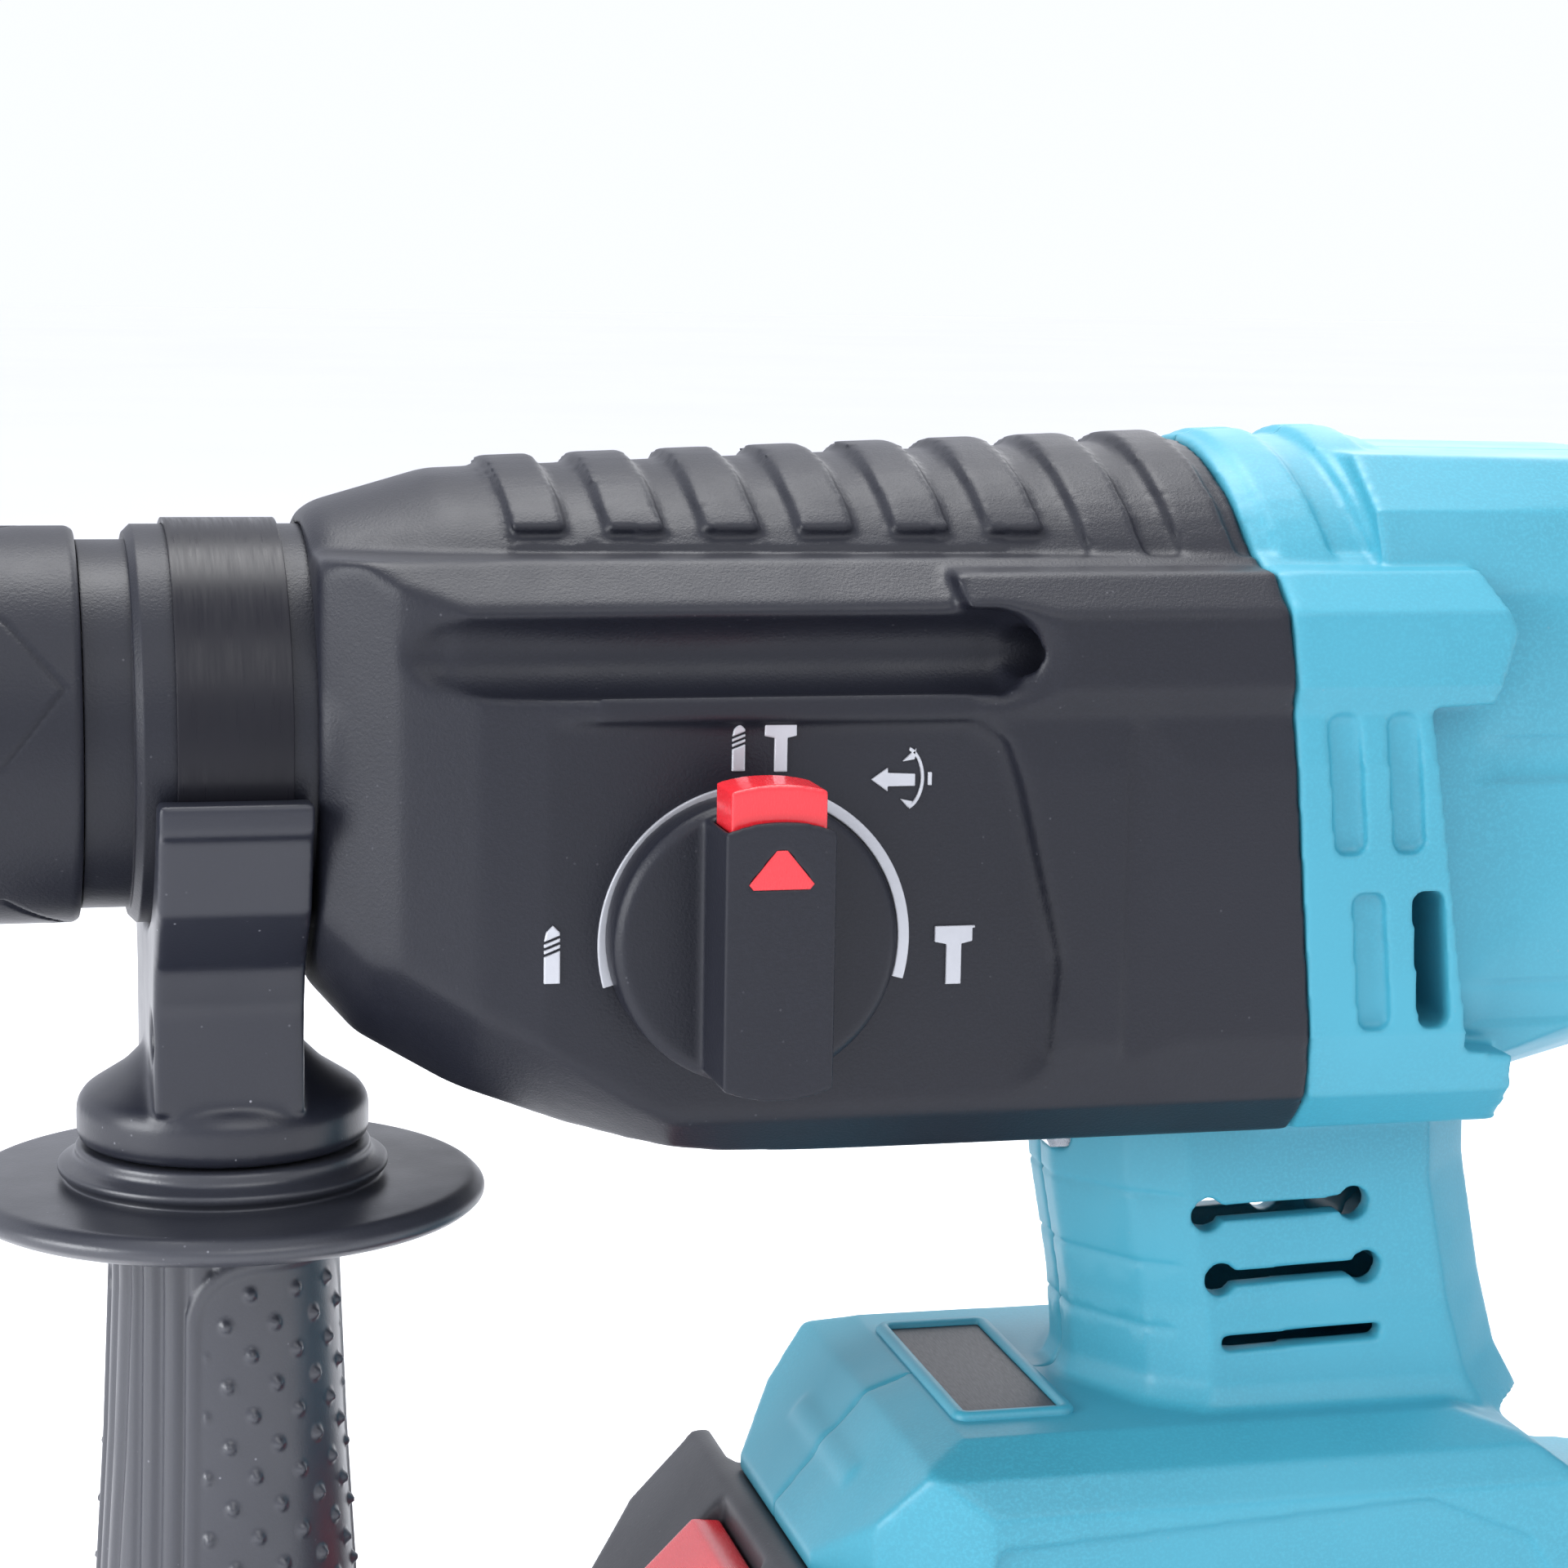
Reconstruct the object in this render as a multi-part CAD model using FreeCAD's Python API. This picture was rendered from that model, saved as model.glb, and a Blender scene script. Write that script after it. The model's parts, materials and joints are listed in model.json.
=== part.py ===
import FreeCAD, Part
import math
import os

# Cordless rotary hammer.
# Frame: the spindle axis is X, the tool socket opens towards -X with its mouth at X = 0,
# +Z is up and the mode knob is on the -Y side. Millimetres.

V = FreeCAD.Vector
FIT = 0.02  # radial gap between a part and its seat on the same body
GAP = 0.3  # gap between bodies that pass each other

# Tool socket and spindle
SHANK_R = 5.05
MOUTH_LENGTH = 13.0
NOSE_R = 11.5
SPINDLE_R = 14.0
CYLINDER_R = 11.0
BOLT_BORE_R = 9.0
SPINDLE_END = 134.0
FLANGE_X = 43.8
BALL_X = 20.0
BALL_R = 3.5

# Chuck sleeve and barrel
SLEEVE_FRONT = 4.0
SLEEVE_REAR = 47.3
SLEEVE_R = 24.3
SLEEVE_SKIRT_R = 23.1
SLEEVE_CAVITY_R = 19.0
COLLAR_R = 22.6
COLLAR_X = 47.5
BARREL_R = 24.5
BARREL_FRONT = 53.3
BARREL_REAR = 82.0

# Gear case: radius of its round top, half width and depth, each against x
CASE_FRONT = 74.4
CASE_BACK = 205.0
CASE_CROWN = [(CASE_FRONT, 25.9), (76.6, 27.4), (90.4, 31.4), (CASE_BACK, 36.0)]
CASE_PLAN = [
    (CASE_FRONT, 25.0), (83.0, 32.6), (92.0, 36.6), (106.0, 39.2), (120.0, 40.0), (CASE_BACK, 40.0),
]
CASE_BELLY = [
    (CASE_FRONT, 31.0), (80.0, 37.0), (90.4, 42.2), (104.0, 46.3), (122.0, 49.2), (150.0, 50.6),
    (CASE_BACK, 51.2),
]
CASE_NOSE = [
    (CASE_FRONT, 32.0), (80.0, 39.0), (92.0, 47.5), (110.0, 56.0), (126.0, 62.0), (CASE_BACK, 64.0),
]
CASE_SECTION = [  # y, z from the top of the side to the belly
    (29.0, 22.5), (35.5, 17.5), (39.0, 8.5), (40.0, -2.0), (40.0, -36.0), (37.5, -44.0),
    (31.0, -49.6), (22.0, -52.0),
]
CASE_WALL = 3.0
JOINT_X = 191.3  # the slanted joint with the motor housing, at the spindle axis
JOINT_SLOPE = -0.088

# Ribs on the gear case: rib top start, and the rise of each rib
RIB_FIRST_X = 95.7
RIB_PITCH = 11.7
RIB_WIDTH = 6.7
RIB_RISE = 1.3
SHORT_RIBS = 6
LONG_RIBS = 2
SHORT_RIB_LOW = 25.5
LONG_RIB_LOW = 20.8
RIB_LEAN = 0.13

# Rod channel along both sides, and the shoulder over its end
ROD_Z = 11.8
ROD_Y = -37.5
ROD_CHANNEL_R = 4.8
LINER_END = 166.3
POCKET_END = 163.0  # blind hole under the shoulder, at the end of the channel
POCKET_R = 3.1
POCKET_Y = -36.0
MOUTH_X = 153.0  # round mouth in the front of the shoulder
MOUTH_R = 5.4
MOUTH_Y = -39.4
MOUTH_FLARE = 2.37  # growth of its radius for each mm outwards
SHOULDER_START = 148.5
SHOULDER_LEAN = 3.0
SHOULDER_TOP = 21.5
SHOULDER_LOW = 4.5

# Mode knob
KNOB_X = 123.3
KNOB_Z = -21.1
PANEL_Y = -38.0
KNOB_R = 17.0
KNOB_DISC_FACE = -45.0
KNOB_BAR_FACE = -56.0
KNOB_BAR_HALF = 6.5
KNOB_BAR_REACH = 16.2
KNOB_SHAFT_R = 7.0
KNOB_SHAFT_END = -21.0
ECCENTRIC = 4.0
BUTTON_RIM_R = 20.2

# Gear train: module, teeth, shaft heights
SPINDLE_TEETH = 36
PINION_TEETH = 12
SPINDLE_MODULE = 1.25
DRIVEN_TEETH = 38
ROTOR_TEETH = 8
ROTOR_MODULE = 0.8
PRESSURE_ANGLE = math.radians(25.0)
LAY_Z = -SPINDLE_MODULE * (SPINDLE_TEETH + PINION_TEETH) / 2
ROTOR_Z = LAY_Z + ROTOR_MODULE * (DRIVEN_TEETH + ROTOR_TEETH) / 2
SPINDLE_GEAR_X = 97.0
SPINDLE_GEAR_WIDTH = 8.0
DRIVEN_GEAR_X = 172.0
DRIVEN_GEAR_WIDTH = 7.0
PLATE_X = 182.0
PLATE_THICKNESS = 5.0

# Hammer mechanism
WOBBLE_X = 148.0
WOBBLE_SPHERE_R = 10.0
FINGER_R = 3.0
PISTON_FRONT = 120.0
PISTON_END = 156.0
STRIKER_FRONT = 88.0
STRIKER_LENGTH = 22.0
PISTON_R = CYLINDER_R - 0.05

# Motor
STATOR_R = 27.0
STATOR_FRONT = 204.0
STATOR_REAR = 238.0
ROTOR_R = 13.8
SHAFT_R = 4.0
REAR_BEARING_X = 244.0

# Motor housing and D-handle
HOUSING_SIDE = [  # x, z round the outline, from the top front
    (205.0, 34.6), (250.0, 34.0), (268.0, 32.4), (286.0, 28.4), (302.0, 22.0), (313.0, 12.0),
    (318.0, 2.0), (316.0, -8.0), (300.0, -13.0), (286.0, -19.0), (271.0, -29.5), (258.0, -39.5),
    (246.0, -45.5), (236.0, -47.6), (205.0, -48.6),
]
HOUSING_PLAN = [
    (205.0, 34.5), (250.0, 33.5), (270.0, 29.0), (290.0, 21.5), (306.0, 17.5), (322.0, 14.0),
]
HOUSING_SECTION = [
    (18.0, 36.0), (29.0, 28.0), (33.6, 18.0), (35.0, 6.0), (35.0, -30.0), (31.0, -41.0),
    (22.0, -49.0),
]
HOUSING_TAPER = [
    (205.0, 60.0), (250.0, 49.0), (270.0, 36.5), (290.0, 26.5), (306.0, 20.5), (322.0, 13.0),
]
TAPER_Z = 5.0
GRIP_STATIONS = [  # z, front x, back x, half width
    (12.0, 286.0, 314.0, 15.5),
    (-6.0, 282.5, 319.5, 17.0),
    (-24.0, 281.0, 322.0, 17.5),
    (-48.0, 279.5, 321.0, 17.5),
    (-72.0, 278.0, 317.0, 17.5),
    (-96.0, 276.0, 312.5, 18.0),
    (-112.0, 272.0, 311.0, 19.0),
    (-123.0, 268.0, 311.0, 19.0),
]
OVERMOULD = 2.0
OVERMOULD_X = 299.0
STRUT_STATIONS = [  # z, front x, rear x, half width
    (-46.0, 172.0, 229.0, 20.0),
    (-60.0, 172.6, 229.5, 20.0),
    (-76.0, 175.5, 232.5, 20.3),
    (-86.0, 176.4, 235.0, 21.5),
    (-92.0, 174.0, 238.0, 25.0),
]
STRUT_WALL = 3.5

# Battery base
BASE_FRONT = 137.0
BASE_TOP = -89.0
BASE_FLOOR = -108.0
BASE_BOTTOM = -124.0
BASE_HALF = 38.0
BASE_REAR = 246.0
CHANNEL_HALF = 25.0
DISPLAY_X = (157.5, 170.5)
DISPLAY_HALF = 19.0

# Battery pack
PACK_FRONT = 116.0
PACK_REAR = 235.0
PACK_HALF = 37.5
PACK_BOTTOM = -176.0
PACK_SHOULDER = BASE_BOTTOM - GAP
PACK_SPLIT = -150.0
CELL_R = 9.1
CELL_LENGTH = 65.0
CELL_PITCH = 19.2
RAIL_TOP = -112.0
RAIL_BOTTOM = -116.0

# Side handle
HANDLE_X = 65.0
BAND_X = (58.0, 71.6)
BAND_R = 25.3
SADDLE_X = (55.4, 73.6)
SADDLE_TOP = -6.0
NECK_HALF = 16.2
COLLAR_TOP = -46.0
COLLAR_LOW = -52.5
COLLAR_WIDE = 18.2
DISC_R = 32.8
DISC_TOP = -57.2
GRIP_END = -168.0
BOLT_R = 4.0
ROD_HOLE_R = 3.1
ROD_HOLE_Z = -37.0
ROD_HOLE_Y = -11.8


# ---------------------------------------------------------------- shape helpers


def box(x0, x1, y0, y1, z0, z1):
    return Part.makeBox(x1 - x0, y1 - y0, z1 - z0, V(x0, y0, z0))


def rod_x(radius, x0, x1, y=0.0, z=0.0):
    return Part.makeCylinder(radius, x1 - x0, V(x0, y, z), V(1, 0, 0))


def rod_y(radius, y0, y1, x=0.0, z=0.0):
    return Part.makeCylinder(radius, y1 - y0, V(x, y0, z), V(0, 1, 0))


def rod_z(radius, z0, z1, x=0.0, y=0.0):
    return Part.makeCylinder(radius, z1 - z0, V(x, y, z0), V(0, 0, 1))


def tube_x(outer, inner, x0, x1, y=0.0, z=0.0):
    return rod_x(outer, x0, x1, y, z).cut(rod_x(inner, x0 - 1, x1 + 1, y, z))


def ball(radius, x, y, z):
    return Part.makeSphere(radius, V(x, y, z))


def turned_x(profile, z=0.0):
    """A closed profile of (x, radius) points turned about an axis along X."""
    points = [V(x, 0, r) for x, r in profile]
    face = Part.Face(Part.makePolygon(points + points[:1]))
    solid = face.revolve(V(0, 0, 0), V(1, 0, 0), 360)
    return solid.translated(V(0, 0, z))


def turned_z(profile, x=0.0, y=0.0):
    """A closed profile of (radius, z) points turned about an axis along Z."""
    points = [V(r, 0, z) for r, z in profile]
    face = Part.Face(Part.makePolygon(points + points[:1]))
    solid = face.revolve(V(0, 0, 0), V(0, 0, 1), 360)
    return solid.translated(V(x, y, 0))


def side_plate(outline, y0, y1):
    """An outline of (x, z) points, y0 to y1 thick."""
    points = [V(x, y0, z) for x, z in outline]
    face = Part.Face(Part.makePolygon(points + points[:1]))
    return face.extrude(V(0, y1 - y0, 0))


def soft_plate(outline, y0, y1, radius):
    """A side plate whose corners are rounded."""
    plate = side_plate(outline, y0, y1)
    corners = [edge for edge in plate.Edges if edge.BoundBox.YLength > 0.9 * (y1 - y0)]
    return plate.makeFillet(radius, corners)


def end_plate(outline, x0, x1):
    """An outline of (y, z) points, x0 to x1 thick."""
    points = [V(x0, y, z) for y, z in outline]
    face = Part.Face(Part.makePolygon(points + points[:1]))
    return face.extrude(V(x1 - x0, 0, 0))


def flat_plate(outline, z0, z1):
    """An outline of (x, y) points, z0 to z1 thick."""
    points = [V(x, y, z0) for x, y in outline]
    face = Part.Face(Part.makePolygon(points + points[:1]))
    return face.extrude(V(0, 0, z1 - z0))


def group(shapes):
    """Separate solids kept side by side in one node."""
    return Part.makeCompound(shapes)


def mirrored_y(shape):
    return shape.mirror(V(0, 0, 0), V(0, 1, 0))


def both_sides(half_outline):
    """An outline mirrored across its first coordinate, from a half given top to bottom."""
    return half_outline + [(-y, z) for y, z in reversed(half_outline)]


def coil(axis_start, axis, mean_r, wire_r, length, turns):
    """A round-wire coil spring along an axis."""
    pitch = (length - 2 * wire_r) / turns
    path = Part.makeHelix(pitch, pitch * turns, mean_r)
    ring = Part.Wire([Part.makeCircle(wire_r, V(mean_r, 0, 0), V(0, 1, 0))])
    spring = Part.Wire(path.Edges).makePipeShell([ring], True, True)
    spring.translate(V(0, 0, wire_r))
    turn = FreeCAD.Rotation(V(0, 0, 1), axis)
    spring.Placement = FreeCAD.Placement(axis_start, turn).multiply(spring.Placement)
    return spring


def ball_bearing(x0, x1, outer, inner, z=0.0, balls=9):
    """Two races and their balls, on a shaft along X."""
    wall = (outer - inner) * 0.28
    middle = (outer + inner) / 2
    ball_r = (outer - inner) / 2 - wall - 0.05
    solids = [
        tube_x(outer, outer - wall, x0, x1, 0, z),
        tube_x(inner + wall, inner, x0, x1, 0, z),
    ]
    for n in range(balls):
        angle = 2 * math.pi * n / balls
        y = middle * math.cos(angle)
        up = middle * math.sin(angle)
        solids.append(ball(ball_r, (x0 + x1) / 2, y, z + up))
    return group(solids)


def spur_gear(teeth, module, addendum, phase, x0, x1, z):
    """An involute gear about an axis along X, with a tooth centred on the phase angle."""
    pitch_r = teeth * module / 2
    base_r = pitch_r * math.cos(PRESSURE_ANGLE)
    tip_r = pitch_r + addendum
    root_r = pitch_r - 1.3 * module
    play = 0.07 * module / pitch_r
    half_pitch = math.pi / (2 * teeth) - play
    involute = math.tan(PRESSURE_ANGLE) - PRESSURE_ANGLE

    def half_angle(radius):
        roll = math.acos(min(1.0, base_r / radius))
        return half_pitch + involute - (math.tan(roll) - roll)

    start_r = max(root_r, base_r)
    flank = [root_r] + [start_r + (tip_r - start_r) * t for t in (0.05, 0.4, 0.7, 1.0)]
    outline = []
    for n in range(teeth):
        centre = phase + 2 * math.pi * n / teeth
        rising = [(r, centre - half_angle(max(r, base_r))) for r in flank]
        falling = [(r, centre + half_angle(max(r, base_r))) for r in reversed(flank)]
        outline += [(r * math.cos(a), z + r * math.sin(a)) for r, a in rising + falling]
    return end_plate(outline, x0, x1)


# ---------------------------------------------------------------- spindle and chuck


def spindle():
    """Tool holder and hammer cylinder in one turned steel tube, with drive keys."""
    outer = [
        (0, SHANK_R),
        (0, NOSE_R - 0.8),
        (0.8, NOSE_R),
        (FLANGE_X, NOSE_R),
        (FLANGE_X, 17.0),
        (46.0, 17.0),
        (46.0, SPINDLE_R),
        (116.0, SPINDLE_R),
        (116.0, 19.0),
        (117.6, 19.0),
        (117.6, SPINDLE_R),
        (SPINDLE_END, SPINDLE_R),
        (SPINDLE_END, CYLINDER_R),
        (86.0, CYLINDER_R),
        (86.0, BOLT_BORE_R),
        (48.0, BOLT_BORE_R),
        (48.0, SHANK_R),
        (15.0, SHANK_R),
        (15.0, 5.8),
        (MOUTH_LENGTH, 5.8),
        (MOUTH_LENGTH, SHANK_R),
    ]
    body = turned_x(outer)
    slots = rod_y(BALL_R + 0.1, -NOSE_R - 1, NOSE_R + 1, BALL_X, 0)
    keys = []
    for side in (-1, 1):
        key = box(27.0, 40.0, -1.4, 1.4, -0.7, 0.7).translated(V(0, 0, side * 4.9))
        keys.append(key)
    return body.cut(slots).fuse(keys).removeSplitter()


def dust_cap():
    return turned_x([
        (-6.0, 5.4), (-6.0, 9.0), (-5.2, 11.0), (-1.0, 13.0), (0.6, 15.2), (3.4, 15.6),
        (3.4, NOSE_R), (0.8, NOSE_R), (0.0, NOSE_R - 0.8), (0.0, 5.4),
    ])


def chuck_sleeve():
    return turned_x([
        (SLEEVE_FRONT, 12.0), (SLEEVE_FRONT, 17.4), (5.4, 19.0), (9.0, 20.6), (30.0, 23.3),
        (33.5, SLEEVE_R), (46.5, SLEEVE_R), (SLEEVE_REAR, SLEEVE_R - 0.5),
        (SLEEVE_REAR, SLEEVE_SKIRT_R), (31.0, SLEEVE_SKIRT_R), (31.0, SLEEVE_CAVITY_R),
        (12.0, SLEEVE_CAVITY_R), (12.0, 12.0),
    ])


def ball_ring():
    return turned_x([
        (12.0, 11.8), (12.0, SLEEVE_CAVITY_R), (24.0, SLEEVE_CAVITY_R), (24.0, 13.2),
        (22.6, 11.8),
    ])


def locking_balls():
    return group([ball(BALL_R, BALL_X, side * 7.9, 0) for side in (-1, 1)])


def sleeve_spring():
    return coil(V(24.4, 0, 0), V(1, 0, 0), 14.0, 0.9, 19.0, 5)


def barrel():
    return turned_x([
        (COLLAR_X, 17.0), (COLLAR_X, COLLAR_R), (BARREL_FRONT, COLLAR_R),
        (BARREL_FRONT, BARREL_R - 0.9), (BARREL_FRONT + 0.9, BARREL_R), (BARREL_REAR, BARREL_R),
        (BARREL_REAR, 16.0), (69.0, 16.0), (69.0, 19.0), (55.0, 19.0), (55.0, 17.0),
    ])


def oil_seal():
    return turned_x([
        (48.0, SPINDLE_R + 0.05), (48.0, 17.0 - FIT), (54.4, 17.0 - FIT), (54.4, 16.0),
        (50.0, 15.2), (50.0, SPINDLE_R + 0.05),
    ])


# ---------------------------------------------------------------- hammer mechanism


def impact_bolt():
    return turned_x([
        (41.0, 0.0), (41.0, 4.2), (41.6, 4.8), (50.5, 4.8), (52.5, 8.94), (71.0, 8.94),
        (72.5, 6.0), (79.0, 6.0), (80.0, 5.0), (80.0, 0.0),
    ])


def striker():
    rear = STRIKER_FRONT + STRIKER_LENGTH
    return turned_x([
        (STRIKER_FRONT, 0.0), (STRIKER_FRONT, 6.5), (STRIKER_FRONT + 2, PISTON_R),
        (100.0, PISTON_R), (100.0, 9.2), (103.0, 9.2), (103.0, PISTON_R),
        (rear - 1, PISTON_R), (rear, PISTON_R - 1), (rear, 0.0),
    ])


def o_ring(x):
    return Part.makeTorus(10.1, 0.85, V(x, 0, 0), V(1, 0, 0))


def piston():
    body = turned_x([
        (PISTON_FRONT, 0.0), (PISTON_FRONT, PISTON_R - 0.8), (PISTON_FRONT + 0.8, PISTON_R),
        (124.0, PISTON_R), (124.0, 9.2), (127.0, 9.2), (127.0, PISTON_R),
        (PISTON_END, PISTON_R), (PISTON_END, 0.0),
    ])
    fork = box(138.0, PISTON_END + 1, -6.2, 6.2, -12, 12)
    return body.cut(fork).cut(rod_y(3.4, -12, 12, WOBBLE_X, 0))


def piston_pin():
    pin = rod_y(3.4, -10.0, 10.0, WOBBLE_X, 0).fuse(rod_y(5.4, -5.9, 5.9, WOBBLE_X, 0))
    return pin.cut(rod_z(4.2, -8, 8, WOBBLE_X, 0))


def wobble_ring():
    """Ring that rocks on the spherical hub, with the finger that drives the piston pin."""
    ring = rod_x(14.5, WOBBLE_X - 5, WOBBLE_X + 5, 0, LAY_Z)
    finger = rod_z(FINGER_R, LAY_Z + 12, 3.0, WOBBLE_X, 0)
    return ring.fuse(finger).cut(ball(WOBBLE_SPHERE_R + GAP, WOBBLE_X, 0, LAY_Z))


def intermediate_shaft():
    shaft = turned_x([
        (88.0, 0.0), (88.0, 4.0), (95.0, 4.0), (95.0, 5.6), (107.0, 5.6), (107.0, 5.0),
        (172.0, 5.0), (172.0, 6.0), (180.5, 6.0), (180.5, 4.0), (187.0, 4.0), (187.0, 0.0),
    ], LAY_Z)
    gear_x0 = SPINDLE_GEAR_X - 1
    gear_x1 = SPINDLE_GEAR_X + SPINDLE_GEAR_WIDTH + 1
    phase = math.pi / 2 + math.pi / PINION_TEETH
    teeth = spur_gear(PINION_TEETH, SPINDLE_MODULE, SPINDLE_MODULE, phase, gear_x0, gear_x1, LAY_Z)
    return shaft.fuse(teeth)


def wobble_hub():
    """Ball-shaped hub keyed to the lay shaft."""
    hub = ball(WOBBLE_SPHERE_R, WOBBLE_X, 0, LAY_Z)
    width = box(WOBBLE_X - 8, WOBBLE_X + 8, -20, 20, LAY_Z - 20, LAY_Z + 20)
    return hub.common(width).cut(rod_x(5.0 + FIT, 130, 170, 0, LAY_Z))


def driven_gear():
    x1 = DRIVEN_GEAR_X + DRIVEN_GEAR_WIDTH
    gear = spur_gear(
        DRIVEN_TEETH, ROTOR_MODULE, 0.7 * ROTOR_MODULE, math.pi / 2, DRIVEN_GEAR_X, x1, LAY_Z
    )
    web = tube_x(13.0, 8.5, x1 - 2.0, x1 + 1, 0, LAY_Z)
    return gear.cut(web).cut(rod_x(6.0 + FIT, 170, 185, 0, LAY_Z))


def spindle_gear():
    x1 = SPINDLE_GEAR_X + SPINDLE_GEAR_WIDTH
    gear = spur_gear(
        SPINDLE_TEETH, SPINDLE_MODULE, SPINDLE_MODULE, -math.pi / 2, SPINDLE_GEAR_X, x1, 0
    )
    return gear.cut(rod_x(SPINDLE_R + FIT, 90, 110))


def clutch_spring():
    return coil(V(105.4, 0, 0), V(1, 0, 0), 16.4, 1.2, 10.3, 3)


def shift_fork():
    """Plate pushed along X by the knob's eccentric pin, with a fork on the lay shaft."""
    plate = box(112.0, 133.0, -19.0, -16.0, -36.0, -16.5)
    slot = box(KNOB_X - 3.2, KNOB_X + 3.2, -25, -10, -28.0, -14.0)
    arm = box(130.5, 133.0, -19.0, 8.0, -36.0, -23.5)
    saddle = rod_x(5.6, 128, 136, 0, LAY_Z).fuse(box(128, 136, -5.6, 5.6, LAY_Z, -20))
    return plate.cut(slot).fuse(arm).cut(saddle).removeSplitter()


# ---------------------------------------------------------------- gear case


def shaped_block(belly, plan, section, taper, taper_z, top, inset=0.0):
    """A block trimmed by its side outline, its plan, its cross-section and a round taper."""
    x0 = belly[0][0]
    x1 = belly[-1][0]
    side = side_plate(
        [(x0, top - inset)] + [(x, -depth + inset) for x, depth in belly] + [(x1, top - inset)], -60, 60
    )
    level = flat_plate(both_sides_of_x([(x, half - inset) for x, half in plan]), -60, 60)
    ends = end_plate(both_sides([(y - inset, z * (1 - inset / 50)) for y, z in section]), x0, x1)
    cone = turned_x([(x0, 0)] + [(x, r - inset) for x, r in taper] + [(x1, 0)], taper_z)
    return side.common(level).common(ends).common(cone)


def both_sides_of_x(half_plan):
    return half_plan + [(x, -y) for x, y in reversed(half_plan)]


def case_body(inset=0.0):
    crown = [(x, r - inset) for x, r in CASE_CROWN]
    top = turned_x([(CASE_FRONT, 0)] + crown + [(CASE_BACK, 0)])
    lower = shaped_block(CASE_BELLY, CASE_PLAN, CASE_SECTION, CASE_NOSE, 0.0, 22.5, inset)
    return top.fuse(lower)


def joint_x(z):
    return JOINT_X + JOINT_SLOPE * z


def ahead_of_joint(x0=60.0, back=0.0):
    high = 70.0
    low = -90.0
    outline = [(x0, high), (joint_x(high) - back, high), (joint_x(low) - back, low), (x0, low)]
    return side_plate(outline, -70, 70)


def rib_slab(x, low, width=RIB_WIDTH):
    """Slanted slab that trims one rib out of the raised skin."""
    high = 50.0
    lean = RIB_LEAN * (high - low)
    outline = [(x - 1, high), (x + width - 1, high), (x + width + lean - 1, low), (x + lean - 1, low)]
    return side_plate(outline, -60, 60)


def rib_skin():
    crown = [(x, r + RIB_RISE) for x, r in CASE_CROWN]
    return turned_x([(CASE_FRONT, 0)] + crown + [(CASE_BACK + 30, crown[-1][1]), (CASE_BACK + 30, 0)])


def case_ribs():
    slabs = []
    for n in range(SHORT_RIBS + LONG_RIBS):
        low = SHORT_RIB_LOW if n < SHORT_RIBS else LONG_RIB_LOW
        slabs.append(rib_slab(RIB_FIRST_X + n * RIB_PITCH, low))
    skin = rib_skin()
    return [skin.common(slab) for slab in slabs]


def shoulder_block(x0, x1):
    """Faceted shoulder over the end of the rod channel, -Y side."""
    outline = [
        (-30.0, SHOULDER_TOP), (-35.5, SHOULDER_TOP - 0.3), (-40.6, SHOULDER_TOP - 5.0),
        (-41.0, SHOULDER_LOW + 3.0), (-39.5, SHOULDER_LOW), (-30.0, SHOULDER_LOW),
    ]
    return end_plate(outline, x0, x1)


def rod_channel():
    """Half-round channel that fades in at the front and ends in a blind hole under the shoulder."""
    bore = turned_x([
        (87.0, 0.0), (87.0, ROD_CHANNEL_R), (154.5, ROD_CHANNEL_R), (156.5, ROD_CHANNEL_R - 1.4),
        (156.5, 0.0),
    ], ROD_Z)
    bore.translate(V(0, ROD_Y, 0))
    pocket = turned_x([
        (150.0, 0.0), (150.0, POCKET_R), (POCKET_END - 1.5, POCKET_R), (POCKET_END, POCKET_R - 1.3),
        (POCKET_END, 0.0),
    ], ROD_Z)
    pocket.translate(V(0, POCKET_Y, 0))
    lead_in = Part.makeCone(2.0, ROD_CHANNEL_R, 12, V(76.5, ROD_Y + 2.5, ROD_Z), V(1, -0.16, 0))
    return bore.fuse([pocket, lead_in])


def shoulder_mouth():
    """Flared round mouth in the front of the shoulder, open forwards along the channel."""
    inner_y = -30.0
    outer_y = -46.0
    wide = MOUTH_R + MOUTH_FLARE * (MOUTH_Y - outer_y)
    flare = Part.makeCone(MOUTH_R, wide, MOUTH_Y - outer_y, V(MOUTH_X, MOUTH_Y, ROD_Z), V(0, -1, 0))
    throat = rod_y(MOUTH_R, MOUTH_Y, inner_y, MOUTH_X, ROD_Z)
    section = [
        (inner_y, ROD_Z + MOUTH_R), (MOUTH_Y, ROD_Z + MOUTH_R), (outer_y, ROD_Z + wide),
        (outer_y, ROD_Z - wide), (MOUTH_Y, ROD_Z - MOUTH_R), (inner_y, ROD_Z - MOUTH_R),
    ]
    return [end_plate(section, SHOULDER_START - 8.5, MOUTH_X), flare, throat]


def knob_panel():
    """Shallow recess round the mode knob, -Y side."""
    outline = [
        (90.5, 4.4), (151.0, 4.0), (154.8, 1.4), (156.6, -4.0), (162.0, -25.6),
        (161.0, -38.0), (152.0, -46.0), (96.0, -40.0), (91.0, -25.0), (86.5, -8.0), (86.8, 1.0),
    ]
    return side_plate(outline, -50.0, PANEL_Y)


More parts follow.
